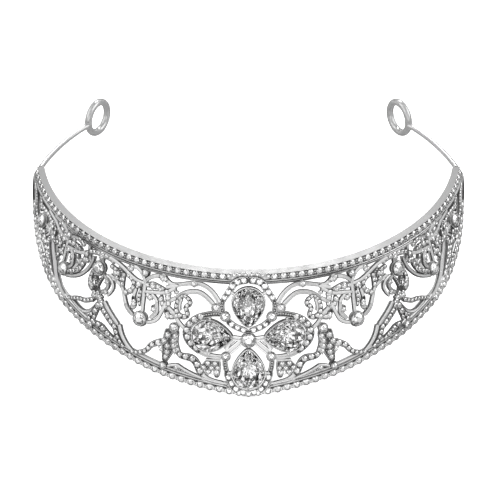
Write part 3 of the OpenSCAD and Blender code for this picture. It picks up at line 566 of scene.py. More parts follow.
# The chart: degrees round the head, millimetres down the flare, millimetres outward
class Chart:
    """Places chart points on the crown as it rests, from the frame's own mount on the rail's seat."""

    # Millimetres: how far the seat stands over the row's line, its width, and the line halfway
    # down the flare at which a degree is measured
    seat_rise = 0.75
    seat_width = 2.5
    mean_mm = 20.0

    def __init__(self):
        seat = next(m for m in frame["record"]["mounts"] if m["name"] == "rail_seat")
        self.radius = sizes().rail_radius / MM
        self.sin, self.cos = math.sin(sizes().flare), math.cos(sizes().flare)
        self.plate = sizes().plate / MM
        tilt = math.atan2(seat["axis"][1], seat["axis"][2])
        self.turn = np.array(Matrix.Rotation(-tilt, 3, "X"))
        inner = self.radius - self.seat_rise * self.sin - self.seat_width / 2
        local = np.array([0, -inner, self.seat_rise * self.cos])
        self.shift = np.array(seat["pos_m"]) - self.turn @ local * MM
        self.deg_mm = (self.radius + self.mean_mm * self.sin) * math.pi / 180

    def rest(self, local):
        """Points of the upright crown, in millimetres, in metres as it rests."""
        return np.asarray(local) @ self.turn.T * MM + self.shift

    def point(self, deg, mm, out=0.0):
        """Chart points in metres as the crown rests."""
        deg, mm, out = np.broadcast_arrays(np.asarray(deg, float), mm, out)
        r = self.radius + mm * self.sin + out * self.cos
        a = np.radians(deg)
        return self.rest(np.stack([r * np.sin(a), -r * np.cos(a), out * self.sin - mm * self.cos], -1))

    def axes(self, deg):
        """Right, up the flare and outward, as the columns of one matrix for each angle."""
        a = np.radians(np.asarray(deg, float))
        zero = np.zeros_like(a)
        right = np.stack([np.cos(a), np.sin(a), zero], -1)
        up = np.stack([-self.sin * np.sin(a), self.sin * np.cos(a), zero + self.cos], -1)
        out = np.stack([self.cos * np.sin(a), -self.cos * np.cos(a), zero + self.sin], -1)
        return np.stack([self.turn @ v[..., None] for v in (right, up, out)], -1)[..., 0, :]


def crest_mm(deg):
    """The crest's edge: a smooth curve through its table, almost flat at the centre."""
    table = np.array(CREST, float)
    x, y = table[:, 0], table[:, 1]
    slope = np.empty_like(y)
    slope[1:-1] = (y[2:] - y[:-2]) / (x[2:] - x[:-2])
    slope[0], slope[-1] = -0.15, (y[-1] - y[-2]) / (x[-1] - x[-2])
    d = np.clip(np.abs(np.asarray(deg, float)), 0, x[-1] - 0.001)
    i = np.clip(np.searchsorted(x, d, "right") - 1, 0, len(x) - 2)
    span = x[i + 1] - x[i]
    t = (d - x[i]) / span
    return (y[i] * (2 * t ** 3 - 3 * t ** 2 + 1) + y[i + 1] * (3 * t ** 2 - 2 * t ** 3)
            + span * slope[i] * (t ** 3 - 2 * t ** 2 + t) + span * slope[i + 1] * (t ** 3 - t ** 2))


def crest_slope(deg):
    """Millimetres that the crest's edge moves in one degree."""
    return crest_mm(deg + 0.5) - crest_mm(deg - 0.5)


# Mesh building
class Parts:
    """Vertices and faces of one piece, gathered part by part."""

    def __init__(self):
        self.verts, self.faces, self.slots, self.count = [], [], [], 0

    def put(self, verts, faces, slots):
        """Adds vertices, and faces that count from the first of them."""
        self.verts.append(np.asarray(verts, float).reshape(-1, 3))
        self.faces += [tuple(int(k) + self.count for k in f) for f in faces]
        self.slots += list(slots)
        self.count += len(self.verts[-1])

    def skin(self, rings, slot_of, closed=False):
        """Rings of equal size, each (n, 3); slot_of(ring, side) gives the material of each face
        between them, and the two ends take the first material."""
        rings = np.asarray(rings, float)
        m, n = rings.shape[:2]
        faces, slots = [], []
        for i in range(m if closed else m - 1):
            j = (i + 1) % m
            for k in range(n):
                q = (k + 1) % n
                faces.append((i * n + k, i * n + q, j * n + q, j * n + k))
                slots.append(slot_of(i, k))
        if not closed:
            faces += [tuple(range(n - 1, -1, -1)), tuple((m - 1) * n + k for k in range(n))]
            slots += [0, 0]
        self.put(rings, faces, slots)

    def wall(self, outlines, slot_of):
        """A closed wall: one outline (n, 3) for each point of its section, in order round it."""
        self.skin(np.transpose(np.array(outlines), (1, 0, 2))[::-1], slot_of, closed=True)

    def rail(self, rings, slot_of):
        """A rail from its sections; slot_of counts a section's faces in the order of its points."""
        last = len(rings[0]) - 2
        self.skin([r[::-1] for r in rings], lambda i, k: slot_of(i, last - k))

    def piece(self, name, materials, smooth_deg=38):
        """The gathered parts as one object, smooth but for edges sharper than smooth_deg."""
        mesh = bpy.data.meshes.new(name)
        mesh.from_pydata(np.vstack(self.verts).tolist(), [], self.faces)
        for m in materials:
            mesh.materials.append(m)
        mesh.polygons.foreach_set("material_index", self.slots)
        made = bpy.data.objects.new(name, mesh)
        bpy.context.scene.collection.objects.link(made)
        if smooth_deg:
            mesh.shade_smooth()
            mesh.set_sharp_from_angle(angle=math.radians(smooth_deg))
        return made


class Places:
    """Points at which one small thing repeats: place, turn and size of each."""

    def __init__(self):
        self.points, self.turns, self.sizes = [], [], []

    def put(self, point, axes, size, spin=0.0):
        """Adds a place; the spin in radians is about its outward axis."""
        turn = Matrix(np.asarray(axes).tolist()) @ Matrix.Rotation(spin, 3, "Z")
        self.points.append([float(c) for c in point])
        self.turns.append(tuple(turn.to_quaternion()))
        self.sizes.append(float(size))

    def cloud(self, name):
        """The places as loose points that carry their turn and size."""
        mesh = bpy.data.meshes.new(name)
        mesh.from_pydata(self.points, [], [])
        turn = mesh.attributes.new("turn", "QUATERNION", "POINT")
        turn.data.foreach_set("value", [c for q in self.turns for c in q])
        size = mesh.attributes.new("size", "FLOAT", "POINT")
        size.data.foreach_set("value", self.sizes)
        made = bpy.data.objects.new(name, mesh)
        bpy.context.scene.collection.objects.link(made)
        return made


def repeat_tree():
    """Geometry Nodes: a copy of one item on each point, turned and sized by the point's attributes."""
    name = "Repeat on points"
    if name in bpy.data.node_groups:
        return bpy.data.node_groups[name]
    tree = bpy.data.node_groups.new(name, "GeometryNodeTree")
    for label, kind in (("Geometry", "Geometry"), ("Item", "Object"), ("Unit size", "Float"),
                        ("Material", "Material")):
        tree.interface.new_socket(label, in_out="INPUT", socket_type="NodeSocket" + kind)
    tree.interface.new_socket("Geometry", in_out="OUTPUT", socket_type="NodeSocketGeometry")
    given = add(tree, "NodeGroupInput").outputs
    item = add(tree, "GeometryNodeObjectInfo", {"Object": given["Item"]})
    turn = add(tree, "GeometryNodeInputNamedAttribute", {"Name": "turn"}, data_type="QUATERNION")
    size = add(tree, "GeometryNodeInputNamedAttribute", {"Name": "size"}, data_type="FLOAT")
    scale = add(tree, "ShaderNodeMath", {0: size.outputs["Attribute"], 1: given["Unit size"]},
                operation="MULTIPLY")
    copies = add(tree, "GeometryNodeInstanceOnPoints", {
        "Points": given["Geometry"], "Instance": item.outputs["Geometry"],
        "Rotation": turn.outputs["Attribute"], "Scale": scale.outputs["Value"],
    })
    solid = add(tree, "GeometryNodeRealizeInstances", {"Geometry": copies.outputs["Instances"]})
    dressed = add(tree, "GeometryNodeSetMaterial", {
        "Geometry": solid.outputs["Geometry"], "Material": given["Material"],
    })
    add(tree, "NodeGroupOutput", {"Geometry": dressed.outputs["Geometry"]})
    return tree


def baked(holder, tree, values, name):
    """Runs a Geometry Nodes tree on an object and keeps only the mesh that it makes."""
    modifier = holder.modifiers.new(tree.name, "NODES")
    modifier.node_group = tree
    for item in tree.interface.items_tree:
        if item.in_out == "INPUT" and item.name in values:
            modifier[item.identifier] = values[item.name]
    graph = bpy.context.evaluated_depsgraph_get()
    mesh = bpy.data.meshes.new_from_object(holder.evaluated_get(graph))
    mesh.name = name
    bpy.data.objects.remove(holder)
    made = bpy.data.objects.new(name, mesh)
    bpy.context.scene.collection.objects.link(made)
    return made


def repeated(places, item, name, skin, smooth_deg=0):
    """One mesh that holds the item at every place. The item stays, for its maker to remove."""
    holder = places.cloud(name + "_points")
    made = baked(holder, repeat_tree(), {"Item": item, "Unit size": MM, "Material": skin}, name)
    if "turn" in made.data.attributes:
        made.data.attributes.remove(made.data.attributes["turn"])
    if smooth_deg:
        made.data.shade_smooth()
        made.data.set_sharp_from_angle(angle=math.radians(smooth_deg))
    return made


def item_from(verts, faces, name):
    """The source of copies; the size at a place is the length of one unit of it in millimetres."""
    mesh = bpy.data.meshes.new(name)
    mesh.from_pydata([tuple(map(float, v)) for v in verts], [], faces)
    made = bpy.data.objects.new(name, mesh)
    bpy.context.scene.collection.objects.link(made)
    return made


def ride(piece, slot_name, *nodes):
    """Fastens a finished piece to the crown; it may stand for nodes of the frame."""
    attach(piece, "root")
    if nodes:
        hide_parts(*nodes)


# Cut stones
def ring(radius, n, phase, z):
    """n points of a circle at one height, turned by a share of the step between them."""
    angles = [2 * math.pi * (k + phase) / n for k in range(n)]
    return [(radius * math.cos(a), radius * math.sin(a), z) for a in angles]


def brilliant():
    """Brilliant cut, one unit in radius: table, stars, kites, girdle, lower girdle facets and
    pavilion mains."""
    mains, height, depth, girdle_z = 8, 0.32, 0.86, 0.02
    half = math.cos(math.pi / mains)
    table_r, star_r, low_r = 0.56, 0.80, 0.25
    star_z = height * (1 - star_r * half) / (1 - table_r)
    verts = ring(table_r, mains, 0, height) + ring(star_r, mains, 0.5, star_z)
    verts += ring(1, 2 * mains, 0, girdle_z) + ring(1, 2 * mains, 0, -girdle_z)
    verts += ring(low_r, mains, 0.5, -depth * (1 - low_r * half)) + [(0, 0, -depth)]
    top, star, girdle, under, low, culet = 0, mains, 2 * mains, 4 * mains, 6 * mains, 7 * mains
    faces = [tuple(range(mains))]
    for k in range(mains):
        n, g = (k + 1) % mains, 2 * k
        g1, g2, before = g + 1, (g + 2) % (2 * mains), (k - 1) % mains
        faces += [
            (top + k, star + k, top + n),
            (top + k, star + before, girdle + g, star + k),
            (star + k, girdle + g, girdle + g1), (star + k, girdle + g1, girdle + g2),
            (girdle + g, under + g, under + g1, girdle + g1),
            (girdle + g1, under + g1, under + g2, girdle + g2),
            (low + k, under + g1, under + g), (low + k, under + g2, under + g1),
            (culet, low + k, under + g, low + before),
        ]
    return verts, faces


# Splintered cut: rows of its crown from the table to the girdle, each a share of the outline and a
# height in millimetres, and the shares of the outline at which the rows of its pavilion lie
CROWN_ROWS = [(0.42, 0.94), (0.62, 0.78), (0.84, 0.42), (1, 0.02)]
PAVILION_SHARES = (0.84, 0.67, 0.5, 0.33, 0.16)
GIRDLE_FOOT = -0.06
PAVILION_DEPTH = 2.2
# Between table and point, but not at the girdle, every second point of a row is drawn in; in the
# pavilion it is lowered too, and the others are raised
RAISED, LOWERED, DRAWN_IN = 0.3, -0.24, 0.93


def splinter_cut(outline, n):
    """Crown and pavilion as rows of small staggered facets inside an outline, for a splintered sparkle."""
    rows = CROWN_ROWS + [(1, GIRDLE_FOOT)]
    rows += [(share, GIRDLE_FOOT - PAVILION_DEPTH * (1 - share) ** 0.86) for share in PAVILION_SHARES]
    verts, faces = [], []
    for k, (share, z) in enumerate(rows):
        phase = (k % 2) / 2 if share < 1 else 0
        for j in range(n):
            odd = (j + k) % 2 or share == 1
            x, y = outline(2 * math.pi * (j + phase) / n)
            reach = share * (1 if odd else DRAWN_IN)
            tilt = 0 if z >= GIRDLE_FOOT else (RAISED if odd else LOWERED) * min(1, 1.6 * share)
            verts.append((reach * x, reach * y, z + tilt))
    faces.append(tuple(range(n)))
    for k in range(len(rows) - 1):
        a, b = k * n, (k + 1) * n
        for j in range(n):
            i = (j + 1) % n
            if k % 2:
                faces += [(a + i, a + j, b + i), (b + i, a + j, b + j)]
            else:
                faces += [(a + i, a + j, b + j), (a + i, b + j, b + i)]
    verts.append((0, 0, GIRDLE_FOOT - PAVILION_DEPTH))
    last = (len(rows) - 1) * n
    faces += [(last + (j + 1) % n, last + j, len(verts) - 1) for j in range(n)]
    return verts, faces


def rounds(sections, outline):
    """Rings inside an outline, joined in order, one at each (reach, height). A reach in millimetres
    makes a circle that stays inside the outline, "in" a line close inside it, and None the outline."""
    verts, faces, n = [], [], len(outline)
    for r, z in sections:
        for x, y in outline:
            far = math.hypot(x, y)
            reach = far if r is None else far - 0.04 if r == "in" else min(r, far - 0.05)
            verts.append((x * reach / far, y * reach / far, z))
    for i in range(len(sections) - 1):
        for k in range(n):
            q = (k + 1) % n
            faces.append((i * n + k, i * n + q, (i + 1) * n + q, (i + 1) * n + k))
    return verts, faces


def seat_tile(outline, hole, top=0.03):
    """The flat of a seat round the hole for one stone of a row, out to the given outline."""
    return rounds([(None, -0.5), (None, top - 0.05), ("in", top), (hole + 0.1, top)], outline)


def seat_collar(hole, top=0.03, sides=24):
    """The bright raised ring round one stone of a row."""
    sections = [
        (hole + 0.13, top - 0.05), (hole + 0.1, top + 0.07), (hole + 0.02, top + 0.08), (hole, top - 0.05),
    ]
    far_outside = 9
    return rounds(sections, [p[:2] for p in ring(far_outside, sides, 0, 0)])


def seat_cup(hole, depth, sides=12):
    """The hole under one stone, which its row makes dark with painted shade."""
    verts = ring(hole + 0.01, sides, 0, 0.05) + ring(0.5 * hole, sides, 0, -depth)
    faces = [(k, sides + k, sides + (k + 1) % sides, (k + 1) % sides) for k in range(sides)]
    return verts, faces + [tuple(range(sides, 2 * sides))]


def bead_shape(sides=6):
    """A raised bead of metal, rounded on top, one unit in radius."""
    verts = ring(1, sides, 0, -0.5) + ring(0.82, sides, 0.5, 0.35) + [(0, 0, 0.75), (0, 0, -0.5)]
    top, foot = 2 * sides, 2 * sides + 1
    faces = []
    for k in range(sides):
        n = (k + 1) % sides
        faces += [(k, n, sides + k), (n, sides + n, sides + k), (sides + k, sides + n, top), (n, k, foot)]
    return verts, faces


# Strips of the garlands
def heading(h):
    """Unit step along a heading in degrees."""
    return np.array([math.cos(math.radians(h)), math.sin(math.radians(h))])


def moved(table, at_deg, squeeze, fixed_mm=0.0):
    """A motif's table at its place, squeezed down the flare towards one line."""
    return [(r[0] + at_deg, fixed_mm + (r[1] - fixed_mm) * squeeze, r[2],
             r[3] + at_deg, fixed_mm + (r[4] - fixed_mm) * squeeze, r[5], *r[6:]) for r in table]


def row_line(chart, row, side, step=0.45):
    """Points of one row in chart millimetres, about one step apart, its headings and its widths."""
    p = np.array([side * row[0] * chart.deg_mm, row[1]])
    q = np.array([side * row[3] * chart.deg_mm, row[4]])
    leave, arrive = (row[2], row[5]) if side > 0 else (180 - row[2], 180 - row[5])
    bend = (arrive - leave + 180) % 360 - 180
    reach = np.linalg.norm(q - p) / 3 / math.cos(math.radians(bend / 4)) ** 2
    a, b = p + reach * heading(leave), q - reach * heading(arrive)
    n = max(4, math.ceil(np.linalg.norm(q - p) * (1 + abs(bend) / 300) / step))
    t = np.linspace(0, 1, n + 1)[:, None]
    line = (1 - t) ** 3 * p + 3 * (1 - t) ** 2 * t * a + 3 * (1 - t) * t * t * b + t ** 3 * q
    slope = 3 * (1 - t) ** 2 * (a - p) + 6 * (1 - t) * t * (b - a) + 3 * t * t * (q - b)
    slope /= np.linalg.norm(slope, axis=1)[:, None]
    return line, slope, row[6] + (row[7] - row[6]) * t[:, 0]


def chains(table):
    """Rows that go on from one another, as lists."""
    found = []
    for row in table:
        if found and found[-1][-1][3:5] == row[0:2]:
            found[-1].append(row)
        else:
            found.append([row])
    return found


# Finishes of a strip: height of its bed over the flare, how far the bed's middle is domed, the width of a rim
# as a share of the half width, and the bed's metal. The dark metal of the beds under stones and beads is
# painted shade.
FINISHES = {
    "pave": (-0.3, 0, 0.12, SUNK_SHADE), "field": (-0.1, 0, 0.1, SUNK_SHADE), "grain": (-0.2, 0, 0.16, SUNK_SHADE),
    "band": (-0.35, 0.05, 0.32, SATIN), "wire": (0.14, 0.03, 0.06, SATIN),
}
RIM_TOP = 0.1
# A strip's foot stands out past its rims as a dull ledge in the dark recess metal, whose colour draws a
# painted-shade line round it. Every width in the tables grows by the spread, to make room for the ledge.
LEDGE = 0.17
SPREAD = 0.26
# A strip narrows to a round end over this length, cut off at this share of it
ROUND_END, LEAST_END = 0.6, 0.15
# Chains of rows lie at four levels in turn, so that faces that cross don't fight
LEVELS, LEVEL_STEP = 4, 0.12
# Stones of a pave strip: how far ahead its width is read, the width from which two lie abreast, the
# metal beside them, the least and largest stone, and the gap between them as a fixed part and a
# share of the stone. A bead at a stone's shoulder is sized the same way.
PAVE_AHEAD, TWO_ABREAST, PAVE_MARGIN = 0.8, 2.9, 0.22
PAVE_STONE = (0.6, 1.9)
PAVE_GAP = (0.1, 0.16)
PAVE_BEAD = (0.12, 0.06)
# Beads of a grain strip: radius, and the step from one to the next
GRAIN, GRAIN_STEP = 0.4, 0.84


def strip_ring(chart, at, d, width, level, bed, dome, share):
    """Section of a strip, from its foot over a rim and the bed to the other foot."""
    h = width / 2
    ledge = min(LEDGE, 0.3 * h)
    inner = h - ledge - max(share * h, 0.06)
    half = [
        (0.4 * h, -chart.plate + 0.1), (0.85 * h, -0.7), (h, -0.4), (h, -0.3), (h - ledge, -0.24),
        (h - ledge - 0.02, RIM_TOP), (inner, RIM_TOP), (inner - 0.04, bed), (0.35 * inner, bed + dome),
    ]
    section = [(-x, z) for x, z in half] + [(x, z) for x, z in reversed(half)]
    across = np.array([-d[1], d[0]])
    flat = np.array([at + across * x for x, _ in section])
    return chart.point(flat[:, 0] / chart.deg_mm, flat[:, 1], level + np.array([z for _, z in section]))


def strip(chart, parts, rows, side, level):
    """One chain of rows as a swept strip with rounded ends."""
    lines = [row_line(chart, r, side) for r in rows]
    at = np.vstack([x[0][:-1] for x in lines] + [lines[-1][0][-1:]])
    d = np.vstack([x[1][:-1] for x in lines] + [lines[-1][1][-1:]])
    width = SPREAD + np.concatenate([x[2][:-1] for x in lines] + [lines[-1][2][-1:]])
    which = np.concatenate([[i] * (len(x[0]) - 1) for i, x in enumerate(lines)] + [[len(lines) - 1]])
    looks = [FINISHES[rows[i][8]] for i in which]
    run = np.concatenate([[0], np.cumsum(np.linalg.norm(np.diff(at, axis=0), axis=1))])
    for far in (run, run[-1] - run):
        width = width * np.sqrt(1 - (1 - np.clip(far / ROUND_END, LEAST_END, 1)) ** 2)
    rings = [strip_ring(chart, at[i], d[i], width[i], level, *look[:3]) for i, look in enumerate(looks)]

    def slot_of(i, k):
        # From either foot, 0 to 3 are the underside and the ledge, 4 to 6 a rim and 7 and 8 the bed; the back
        # is under 0. Walls take the grey metal and the ledge the dark one, both painted shade; the rim's top
        # is polished.
        face, bed = min(k, 16 - k), looks[i][3]
        if face > 5 or bed == SATIN and face < 2:
            return bed
        return {2: SUNK_SHADE, 3: SUNK_SHADE, 5: POLISHED}.get(face, SHADED)

    parts.skin(rings if side > 0 else [r[::-1] for r in rings], slot_of)


def runs(chart, rows, side):
    """Neighbouring rows of one finish, joined: finish, points, headings, widths and run of each."""
    found = []
    for row in rows:
        line, slope, width = row_line(chart, row, side, 0.1)
        if found and found[-1][0] == row[8]:
            found[-1][1:] = [np.concatenate([old[:-1], new])
                             for old, new in zip(found[-1][1:], (line, slope, width))]
        else:
            found.append([row[8], line, slope, width])
    for joined in found:
        steps = np.linalg.norm(np.diff(joined[1], axis=0), axis=1)
        joined.append(np.concatenate([[0], np.cumsum(steps)]))
    return found


def spot(line, slope, run, s):
    """Place and heading at one length along a run."""
    at = np.array([np.interp(s, run, line[:, k]) for k in (0, 1)])
    d = np.array([np.interp(s, run, slope[:, k]) for k in (0, 1)])
    return at, d / np.linalg.norm(d)


def row_stones(chart, line, slope, width, run, level, stones, beads):
    """Stones along one run, two abreast where it is wide, with beads at their shoulders."""
    found, s = [], 0.1
    while True:
        w = float(np.interp(s + PAVE_AHEAD, run, width))
        lanes = 2 if w > TWO_ABREAST else 1
        size = min(max(w / lanes - PAVE_MARGIN, PAVE_STONE[0]), PAVE_STONE[1])
        gap = PAVE_GAP[0] + PAVE_GAP[1] * size
        if s + 0.6 * gap + size > run[-1]:
            break
        found.append((s + gap / 2 + size / 2, w, lanes, size, gap))
        s += gap + size
    spare = (run[-1] - s) / 2
    for s, w, lanes, size, gap in found:
        at, d = spot(line, slope, run, s + spare)
        across = np.array([-d[1], d[0]])
        for share in ((0,) if lanes == 1 else (-0.25, 0.25)):
            put_on(chart, stones, at + across * share * w, level + 0.02, size / 2, math.atan2(d[1], d[0]))
        corner = at + d * (size / 2 + gap / 2)
        bead = PAVE_BEAD[0] + PAVE_BEAD[1] * size
        for way in (-1, 1):
            put_on(chart, beads, corner + way * across * w * 0.3, level + 0.06, bead)


def row_grains(chart, line, slope, run, level, beads):
    """A single line of beads along one run."""
    for s in np.arange(GRAIN, run[-1] - GRAIN / 2, GRAIN_STEP):
        put_on(chart, beads, spot(line, slope, run, s)[0], level - 0.04, GRAIN)


def put_on(chart, places, at, out, size, spin=0.0):
    """Adds a place at chart millimetres."""
    deg = at[0] / chart.deg_mm
    places.put(chart.point(deg, at[1], out), chart.axes(deg), size, -spin)


def strips(chart, table, side, parts, stones, beads):
    """All the rows of a table, each chain at a level of its own."""
    for k, rows in enumerate(chains(table)):
        level = (k % LEVELS) * LEVEL_STEP
        strip(chart, parts, rows, side, level)
        for look, line, slope, width, run in runs(chart, rows, side):
            if look == "pave":
                row_stones(chart, line, slope, width, run, level, stones, beads)
            elif look == "grain":
                row_grains(chart, line, slope, run, level, beads)


def local_points(chart, deg, mm, out, xy, z):
    """Points given about a place on the flare: right, up the flare and outward."""
    axes = chart.axes(deg)
    base = chart.point(deg, mm, out)
    flat = np.column_stack([xy, np.full(len(xy), z) if np.isscalar(z) else z])
    return base + flat @ axes.T * MM


def bead_ring(chart, beads, deg, mm, out, reach, count, phase, size):
    """Beads in a circle about a place on the flare."""
    flat = np.array(ring(reach, count, phase, 0))[:, :2]
    for place in local_points(chart, deg, mm, 0, flat, out):
        beads.put(place, chart.axes(deg), size)


def collet(chart, parts, beads, deg, mm, r, stand):
    """A round tube under a stone, with a bright rim, claws over the girdle and, unless it is small,
    a beaded foot."""
    circle = np.array(ring(1, COLLET_SIDES, 0, 0))[:, :2]
    section = [
        (0.80 * (r + 0.5), -chart.plate), (0.96 * (r + 0.5), -0.3), (r + 0.5, -0.1),
        (r + 0.34, 0.05), (r + 0.26, stand - 0.12), (r + 0.22, stand), (r + 0.08, stand + 0.03),
        (r + 0.02, stand - 0.08), (r - 0.02, stand - 0.5), (0.55 * r, -0.4), (0.5 * r, -chart.plate),
    ]
    # The ledge round the foot takes the dark metal and the walls the grey one, both painted shade; the top
    # and its inner edge are polished
    finishes = {2: SUNK_SHADE, 5: POLISHED, 6: POLISHED}
    parts.wall([local_points(chart, deg, mm, 0, circle * x, z) for x, z in section],
               lambda i, k: finishes.get(k, SHADED))
    claws, claw = LARGE_CLAWS if r > LARGE_STONE else SMALL_CLAWS
    bead_ring(chart, beads, deg, mm, stand + 0.02, r + 0.02, claws, 0.5, claw)
    if r > BEADED_STONE:
        foot = r + 0.42
        count = round(2 * math.pi * foot / FOOT_BEAD_STEP)
        bead_ring(chart, beads, deg, mm, 0.1, foot, count, 0, FOOT_BEAD)


def pear_outline(grow=0.0):
    """Pear outline in millimetres with its point along +X, by angle, grown outward by grow."""
    half_length = sizes().pear_length / MM / 2

    def at(a):
        # Full towards the round end and slender towards the point
        girth = 1 - 0.32 * math.cos(a) - 0.16 * math.cos(a) ** 2
        return ((half_length + grow) * math.cos(a), (PEAR_SIDE * girth + grow) * math.sin(a))

    return at


def turned(xy, deg):
    """Flat points turned counter-clockwise."""
    c, s = math.cos(math.radians(deg)), math.sin(math.radians(deg))
    return np.asarray(xy) @ np.array([[c, s], [-s, c]])


def pear_setting(chart, parts, beads, deg, mm, turn):
    """An open wall round a pear stone with a thin bright rim and claws."""
    n = 56
    angles = [2 * math.pi * k / n for k in range(n)]
    section = [
        (0.30, -chart.plate), (0.46, -0.2), (0.46, 0.75), (0.36, PEAR_RIM), (0.16, PEAR_RIM), (0.08, 0.7),
        (0.02, 0.3), (-0.4, -0.3), (-0.6, -chart.plate),
    ]
    outlines = []
    for grow, z in section:
        xy = turned([pear_outline(grow)(a) for a in angles], turn)
        outlines.append(local_points(chart, deg, mm, 0, xy, z))
    # The inner wall under the stone and the back take the grey metal, a painted shade
    parts.wall(outlines, lambda i, k: SHADED if k in (6, 7, 8) else POLISHED)
    line = pear_outline(0.06)
    claws = turned([line(math.radians(a)) for a in PEAR_CLAWS], turn)
    for place in local_points(chart, deg, mm, 0, claws, PEAR_RIM):
        beads.put(place, chart.axes(deg), PEAR_CLAW)


def loose_stones(chart, side, stones, beads, collars):
    """Small single stones, each in a collar with six claws and six beads at its foot."""
    for group in LOOSE.values():
        for deg, mm, r in group:
            at = np.array([side * deg * chart.deg_mm, mm])
            put_on(chart, stones, at, LOOSE_STAND, r - 0.05)
            put_on(chart, collars, at, COLLAR_TOP, r)
            for k in range(6):
                for past, phase, out, size in LOOSE_BEADS:
                    a = math.pi * (k + phase) / 3
                    round_it = (r + past) * np.array([math.cos(a), math.sin(a)])
                    put_on(chart, beads, at + round_it, out, size)


def collar_shape(sides=16):
    """A short tube round a small stone, one unit in radius at its hole."""
    rings = [ring(r, sides, 0, z) for r, z in ((0.98, -1.2), (1.2, -1.2), (1.2, 0), (1.12, 0.1), (0.98, 0.1))]
    faces = [(i * sides + k, i * sides + (k + 1) % sides, j * sides + (k + 1) % sides, j * sides + k)
             for i, j in ((0, 1), (1, 2), (2, 3), (3, 4), (4, 0)) for k in range(sides)]
    return sum(rings, []), faces


def garland_pieces(prefix, parts, stones, beads, nodes):
    """Turns gathered parts and places into the pieces of one group."""
    metal = parts.piece(prefix, metals())
    ride(metal, "white_metal", *nodes)
    stone = item_from(*brilliant(), "stone_item")
    bead = item_from(*bead_shape(), "bead_item")
    sparkle = material("small_diamond", small_diamond)
    ride(repeated(stones, stone, prefix + "_pave", sparkle), "diamond")
    ride(repeated(beads, bead, prefix + "_beads", metals()[POLISHED], 60), "white_metal")
    for item in (stone, bead):
        bpy.data.objects.remove(item)


# Operators: one for each piece or group of like pieces
class CROWN_OT_stage(bpy.types.Operator):
    """Floor, soft lights and the camera"""

    bl_idname = "crown.stage"
    bl_label = "Studio"

    def execute(self, context):
        scene = context.scene
        scene.view_settings.view_transform = "Standard"
        self.floor()
        self.air(scene)
        self.lamps(scene)
        self.camera(scene)
        return {"FINISHED"}

    def floor(self):
        """The sheet that the crown lies on, which the metal doesn't mirror."""
        floor = Parts()
        corners = [(-1, -1), (1, -1), (1, 1), (-1, 1)]
        floor.put([(x * FLOOR_REACH, y * FLOOR_REACH, 0) for x, y in corners], [(0, 1, 2, 3)], [0])
        paper = floor.piece("floor", [material("light_table", light_table)], 0)
        paper.visible_glossy = False

    def air(self, scene):
        """Light from all round: a grey by height, darker between the panels."""
        world = bpy.data.worlds.new("studio_air")
        scene.world = world
        world.use_nodes = True
        tree = world.node_tree
        tree.nodes.clear()
        sky = add(tree, "ShaderNodeTexCoord").outputs["Generated"]
        height = add(tree, "ShaderNodeSeparateXYZ", {"Vector": sky}).outputs["Z"]
        share = add(tree, "ShaderNodeMapRange", {"Value": height, "From Min": -1.0}).outputs["Result"]
        light, gap = [self.ramp(tree, share, stops) for stops in (SKY, SKY_GAPS)]
        panels = add(tree, "ShaderNodeTexNoise", {"Vector": sky, "Scale": SKY_PANELS, "Detail": 0.0})
        edges = add(tree, "ShaderNodeMapRange", {
            "Value": panels.outputs["Fac"], "From Min": PANEL_EDGE[0], "From Max": PANEL_EDGE[1],
            "To Min": gap, "To Max": 1.0,
        })
        power = add(tree, "ShaderNodeMath", {0: light, 1: edges.outputs["Result"]}, operation="MULTIPLY")
        gain = add(tree, "ShaderNodeMath", {0: power.outputs["Value"], 1: SKY_GAIN}, operation="MULTIPLY")
        air = add(tree, "ShaderNodeBackground", {"Strength": gain.outputs["Value"]})
        add(tree, "ShaderNodeOutputWorld", {"Surface": air.outputs["Background"]})

    def lamps(self, scene):
        """Round soft boxes that face the crown."""
        for name, place, size, watts in LAMPS:
            lamp = bpy.data.lights.new(name, "AREA")
            lamp.shape, lamp.size, lamp.energy = "DISK", size, watts
            holder = bpy.data.objects.new(name, lamp)
            holder.location = place
            holder.rotation_euler = (-Vector(place)).to_track_quat("-Z", "Y").to_euler()
            scene.collection.objects.link(holder)

    def ramp(self, tree, share, stops):
        """A grey ramp through the given stops."""
        made = add(tree, "ShaderNodeValToRGB", {"Fac": share})
        elements = made.color_ramp.elements
        for at, grey in stops:
            stop = elements.new(at) if 0 < at < 1 else elements[-1 if at else 0]
            stop.color = (grey, grey, grey, 1)
        return made.outputs["Color"]

    def camera(self, scene):
        """Stands where the photograph was taken from, in front of the rail's centre and above it."""
        ring_centre = Vector(Chart().rest([0, 0, 0]).tolist())
        a, b = math.radians(VIEW_HEIGHT), math.radians(VIEW_HEIGHT + VIEW_PITCH)
        data = bpy.data.cameras.new("camera")
        data.lens, data.sensor_width = LENS_MM, SENSOR_MM
        data.clip_start, data.clip_end = 0.01, 50
        data.shift_x = VIEW_SHIFT
        camera = bpy.data.objects.new("camera", data)
        camera.location = ring_centre + Vector((0, -math.cos(a), math.sin(a))) * VIEW_AWAY
        camera.rotation_euler = Vector((0, math.cos(b), -math.sin(b))).to_track_quat("-Z", "Y").to_euler()
        scene.collection.objects.link(camera)
        scene.camera = camera


# Rows on the rails: radius of a bead, depth of the hole under a stone, room round the stone, and
# how far a seat laps over its neighbours, so that no gap opens between them
ROW_BEAD, ROW_CUP, ROW_ROOM, SEAT_LAP = 0.32, 0.86, 0.02, 0.02


def mirrored(half):
    """A seat's outline from its right half, counter-clockwise from the bottom to the top."""
    return half + [(-x, y) for x, y in reversed(half) if x]


